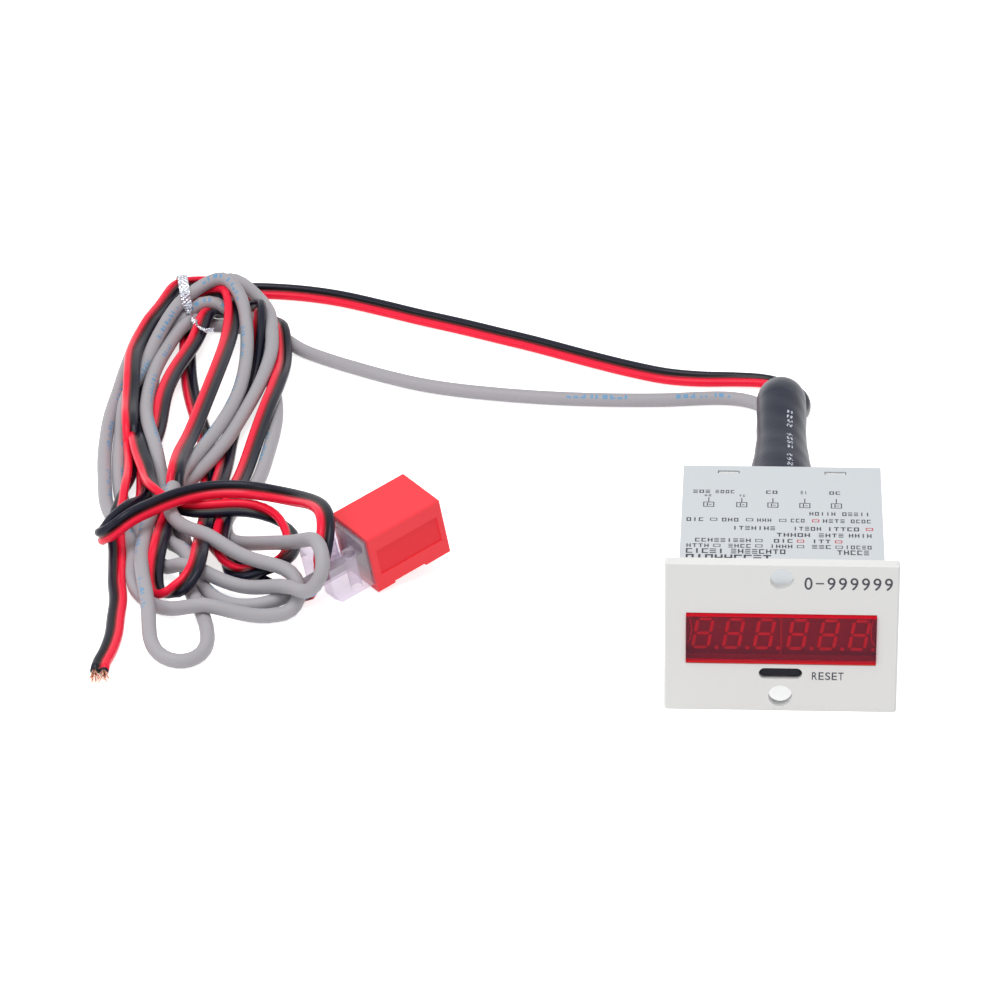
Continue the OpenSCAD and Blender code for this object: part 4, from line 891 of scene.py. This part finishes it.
# the marks: their row's middle and half height, their pitch and length along the sleeve, and the
# words' and the strokes', all in mm
row_x, row_half, mark_pitch, mark_length = 2.2, 0.8, 2.9, 1.74
words_pitch, words_length, bar_pitch, bar_height = 14.5, 10.15, 0.58, 0.53
print_end = 112
sleeve_y = np.concatenate([np.arange(sleeve_start, bend_start, sleeve_step), [bend_start]])
sleeve_bend = np.radians(np.arange(bend_step, bend_end + 1, bend_step))
sleeve_axis = np.concatenate([np.column_stack([0 * sleeve_y, sleeve_y, 0 * sleeve_y]),
                              np.column_stack([0 * sleeve_bend, bend_start + bend_r * np.sin(sleeve_bend),
                                               bend_r * np.cos(sleeve_bend) - bend_r])])
ahead, left, above = sides_of(sleeve_axis)
flare = np.clip((sleeve_axis[:, 1] - flare_start) / flare_length, 0, 1)
radius = sleeve_r + (sleeve_root_r - sleeve_r) * (0.5 + 0.5 * np.cos(math.pi * flare))
radius[-3:] -= mouth_draw
around = np.linspace(0, 2 * np.pi, sleeve_sides, endpoint=False)
uneven = radius[:, None] + 0.05 * np.sin(3 * around[None, :] + 0.7 * np.arange(len(radius))[:, None])
sleeve = tube("shrunk_sleeve", round_rings(sleeve_axis, uneven[:, :, None], around, left, above), sleeve_axis)
shell = bmesh.new()
shell.from_mesh(sleeve.data)
shell.faces.ensure_lookup_table()
bmesh.ops.delete(shell, geom=shell.faces[-2:], context="FACES_ONLY")
shell.to_mesh(sleeve.data)
shell.free()
wall = sleeve.modifiers.new("wall", "SOLIDIFY")
wall.thickness = sleeve_wall / 1000
bpy.ops.object.select_all(action="DESELECT")
bpy.context.view_layer.objects.active = sleeve
sleeve.select_set(True)
bpy.ops.object.modifier_apply(modifier="wall")
# polyolefin shrunk by hot air: slightly wavy, blue-black, with a broad soft highlight
shrink = surface("black_polyolefin_shrunk", sleeve_black, 0.36, {"Specular IOR Level": 0.12})
grain(shrink, 2.5, 0.06)
x, y, z = place_on(shrink)
across = add(shrink, "ShaderNodeMath", {0: x, 1: 1000, 2: -row_x}, operation="MULTIPLY_ADD")
along = product(shrink, y, 1000)
in_row = add(shrink, "ShaderNodeMath", {0: across, 1: 0, 2: row_half}, operation="COMPARE")
in_mark = repeats(shrink, along, mark_pitch, mark_length)
in_word = repeats(shrink, along, words_pitch, words_length)
bars = add(shrink, "ShaderNodeMath", {0: along, 1: bar_pitch}, operation="DIVIDE")
bar = add(shrink, "ShaderNodeMath", {0: bars}, operation="FLOOR")
chance = add(shrink, "ShaderNodeTexWhiteNoise", noise_dimensions="1D")
shrink.node_tree.links.new(bar.outputs[0], chance.inputs["W"])
# along each bar, stroke and gap take turns, from a place that differs from bar to bar
level = add(shrink, "ShaderNodeMath", {0: across, 1: bar_height}, operation="DIVIDE")
shifted = add(shrink, "ShaderNodeMath", {0: chance, 1: 2.4, 2: level}, operation="MULTIPLY_ADD")
part = add(shrink, "ShaderNodeMath", {0: shifted}, operation="FLOOR")
folded = add(shrink, "ShaderNodeMath", {0: part, 1: 1}, operation="PINGPONG")
drawn = add(shrink, "ShaderNodeMath", {0: folded, 1: 0.5}, operation="GREATER_THAN")
upper = add(shrink, "ShaderNodeMath", {0: z, 1: 0.001}, operation="GREATER_THAN")
straight = add(shrink, "ShaderNodeMath", {0: along, 1: print_end}, operation="LESS_THAN")
ink = product(shrink, in_row, in_mark, in_word, drawn, upper, straight)
feed(shrink, "Base Color", two_colours(shrink, ink, sleeve_black, mark_white))
sleeve.data.materials.append(shrink)
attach(sleeve, "counter")
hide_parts("cable_sleeve")

# Sensor cap: a vermilion ABS moulding, pushed over the sensor's clear body. It is satin like the
# mould's plain walls; the sunk panel on each side is left matt, and painted a touch darker as painted shade.
panel_middles = (0.35, 17.45)
red_abs = surface("vermilion_abs_moulded", "#FF454E", 0.42, {"Specular IOR Level": 0.18})
grain(red_abs, 0.4, 0.008)
# matt, and a touch darker in colour: painted shade on the sunk panel
red_matt_painted_shade = surface("vermilion_abs_moulded_matt_painted_shade", "#F83F49", 0.6, {"Specular IOR Level": 0.12})
grain(red_matt_painted_shade, 0.5, 0.012)
sensor_cap = dress("sensor_cap", red_abs)
sensor_cap.data.materials.append(red_matt_painted_shade)
for face in sensor_cap.data.polygons:
    centre = (np.array(face.center) * 1000 - sensor_place) @ sensor_axes
    outward = np.array(face.normal) @ sensor_axes
    if abs(outward[1]) > 0.9 and min(abs(centre[1] - middle) for middle in panel_middles) < 0.06:
        face.material_index = 1

# Sensor body: clear polycarbonate with a faint lavender cast, moulded, its two drilled ears
# outside the cap. Its edges gather a little more of its tint than its flats.
polycarbonate_ior = 1.58
edge_round = 0.00035
clear_pc = bpy.data.materials.new("clear_polycarbonate_moulded")
clear_pc.use_nodes = True
clear_nodes = clear_pc.node_tree.nodes
clear_nodes.remove(clear_nodes["Principled BSDF"])
turned = add(clear_pc, "ShaderNodeLayerWeight", {"Blend": 0.35})
tint = two_colours(clear_pc, turned.outputs["Facing"], "#FBF9FD", "#DAD0E4")
clear = add(clear_pc, "ShaderNodeBsdfTransparent", {"Color": tint})
milk = add(clear_pc, "ShaderNodeBsdfDiffuse", {"Color": colour("#F3ECF7")})
body = add(clear_pc, "ShaderNodeMixShader", {0: 0.24, 1: clear, 2: milk})
gloss = add(clear_pc, "ShaderNodeBsdfGlossy", {"Roughness": 0.06, "Color": (1, 1, 1, 1)})
facing = add(clear_pc, "ShaderNodeFresnel", {"IOR": polycarbonate_ior})
side = add(clear_pc, "ShaderNodeNewGeometry")
outside = add(clear_pc, "ShaderNodeMath", {0: 1, 1: side.outputs["Backfacing"]}, operation="SUBTRACT")
polished = add(clear_pc, "ShaderNodeMixShader", {0: product(clear_pc, facing, outside), 1: body, 2: gloss})
clear_pc.node_tree.links.new(polished.outputs[0], clear_nodes["Material Output"].inputs["Surface"])
moulding = bpy.data.objects.new("clear_moulding", bpy.data.objects["sensor_body"].data.copy())
bpy.context.scene.collection.objects.link(moulding)
moulding.data.materials.clear()
moulding.data.materials.append(clear_pc)
bpy.ops.object.select_all(action="DESELECT")
bpy.context.view_layer.objects.active = moulding
moulding.select_set(True)
bpy.ops.object.mode_set(mode="EDIT")
bpy.ops.mesh.select_all(action="SELECT")
bpy.ops.mesh.remove_doubles(threshold=0.000005)
bpy.ops.mesh.dissolve_limited(angle_limit=math.radians(2))
bpy.ops.object.mode_set(mode="OBJECT")
rounded = moulding.modifiers.new("rounded", "BEVEL")
rounded.width = edge_round
rounded.segments = 2
rounded.limit_method = "ANGLE"
rounded.angle_limit = math.radians(50)
bpy.ops.object.modifier_apply(modifier="rounded")
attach(moulding, "counter")
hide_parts("sensor_body")

# Inside the case and the cap: glass-epoxy boards, the parts soldered on them, and the strip and
# screws that hold the wires. They keep their CAD shapes, and each takes its own material.
# solder mask over woven glass: deep green with a soft gloss
laminate_green = surface("solder_masked_glass_epoxy", "#2E6B45", 0.4)
grain(laminate_green, 0.8, 0.01)
for node in ("display_board", "main_board", "sensor_board"):
    dress(node, laminate_green)
# filled epoxy from the mould: near black and almost matt
chip_epoxy = surface("black_moulded_epoxy", "#232327", 0.55)
grain(chip_epoxy, 0.3, 0.01)
for node in ("controller_chip", "driver_chip", "memory_chip", "board_header", "switch_body",
             "voltage_regulator"):
    dress(node, chip_epoxy)
# the same kind of epoxy without soot: an opaque, dull white
dress("optocoupler", surface("white_moulded_epoxy", "#D9D8D2", 0.5))
# nickel silver, drawn to a can or turned to a screw: bright grey metal with a clear shine
nickel_silver = surface("drawn_nickel_silver_can", "#C9C9CB", 0.28, {"Metallic": 1})
dress("crystal", nickel_silver)
dress("terminal_screws", nickel_silver)
# thin PVC shrunk tight: smooth dark blue with an even shine
dress("filter_capacitors", surface("blue_pvc_shrunk_on_can", "#2A3558", 0.35))
# polyamide from a polished mould: full green, softly shining
dress("terminal_strip", surface("green_polyamide_moulded", "#3C8A5A", 0.45))
# pressed and fired powder: a dull, brownish near-black
dress("sensor_coil", surface("pressed_ferrite", "#3A3634", 0.6))
# cast epoxy with its glass-smooth skin: red and glossy
dress("sensor_led", surface("red_cast_epoxy_lamp", "#D6342C", 0.2))
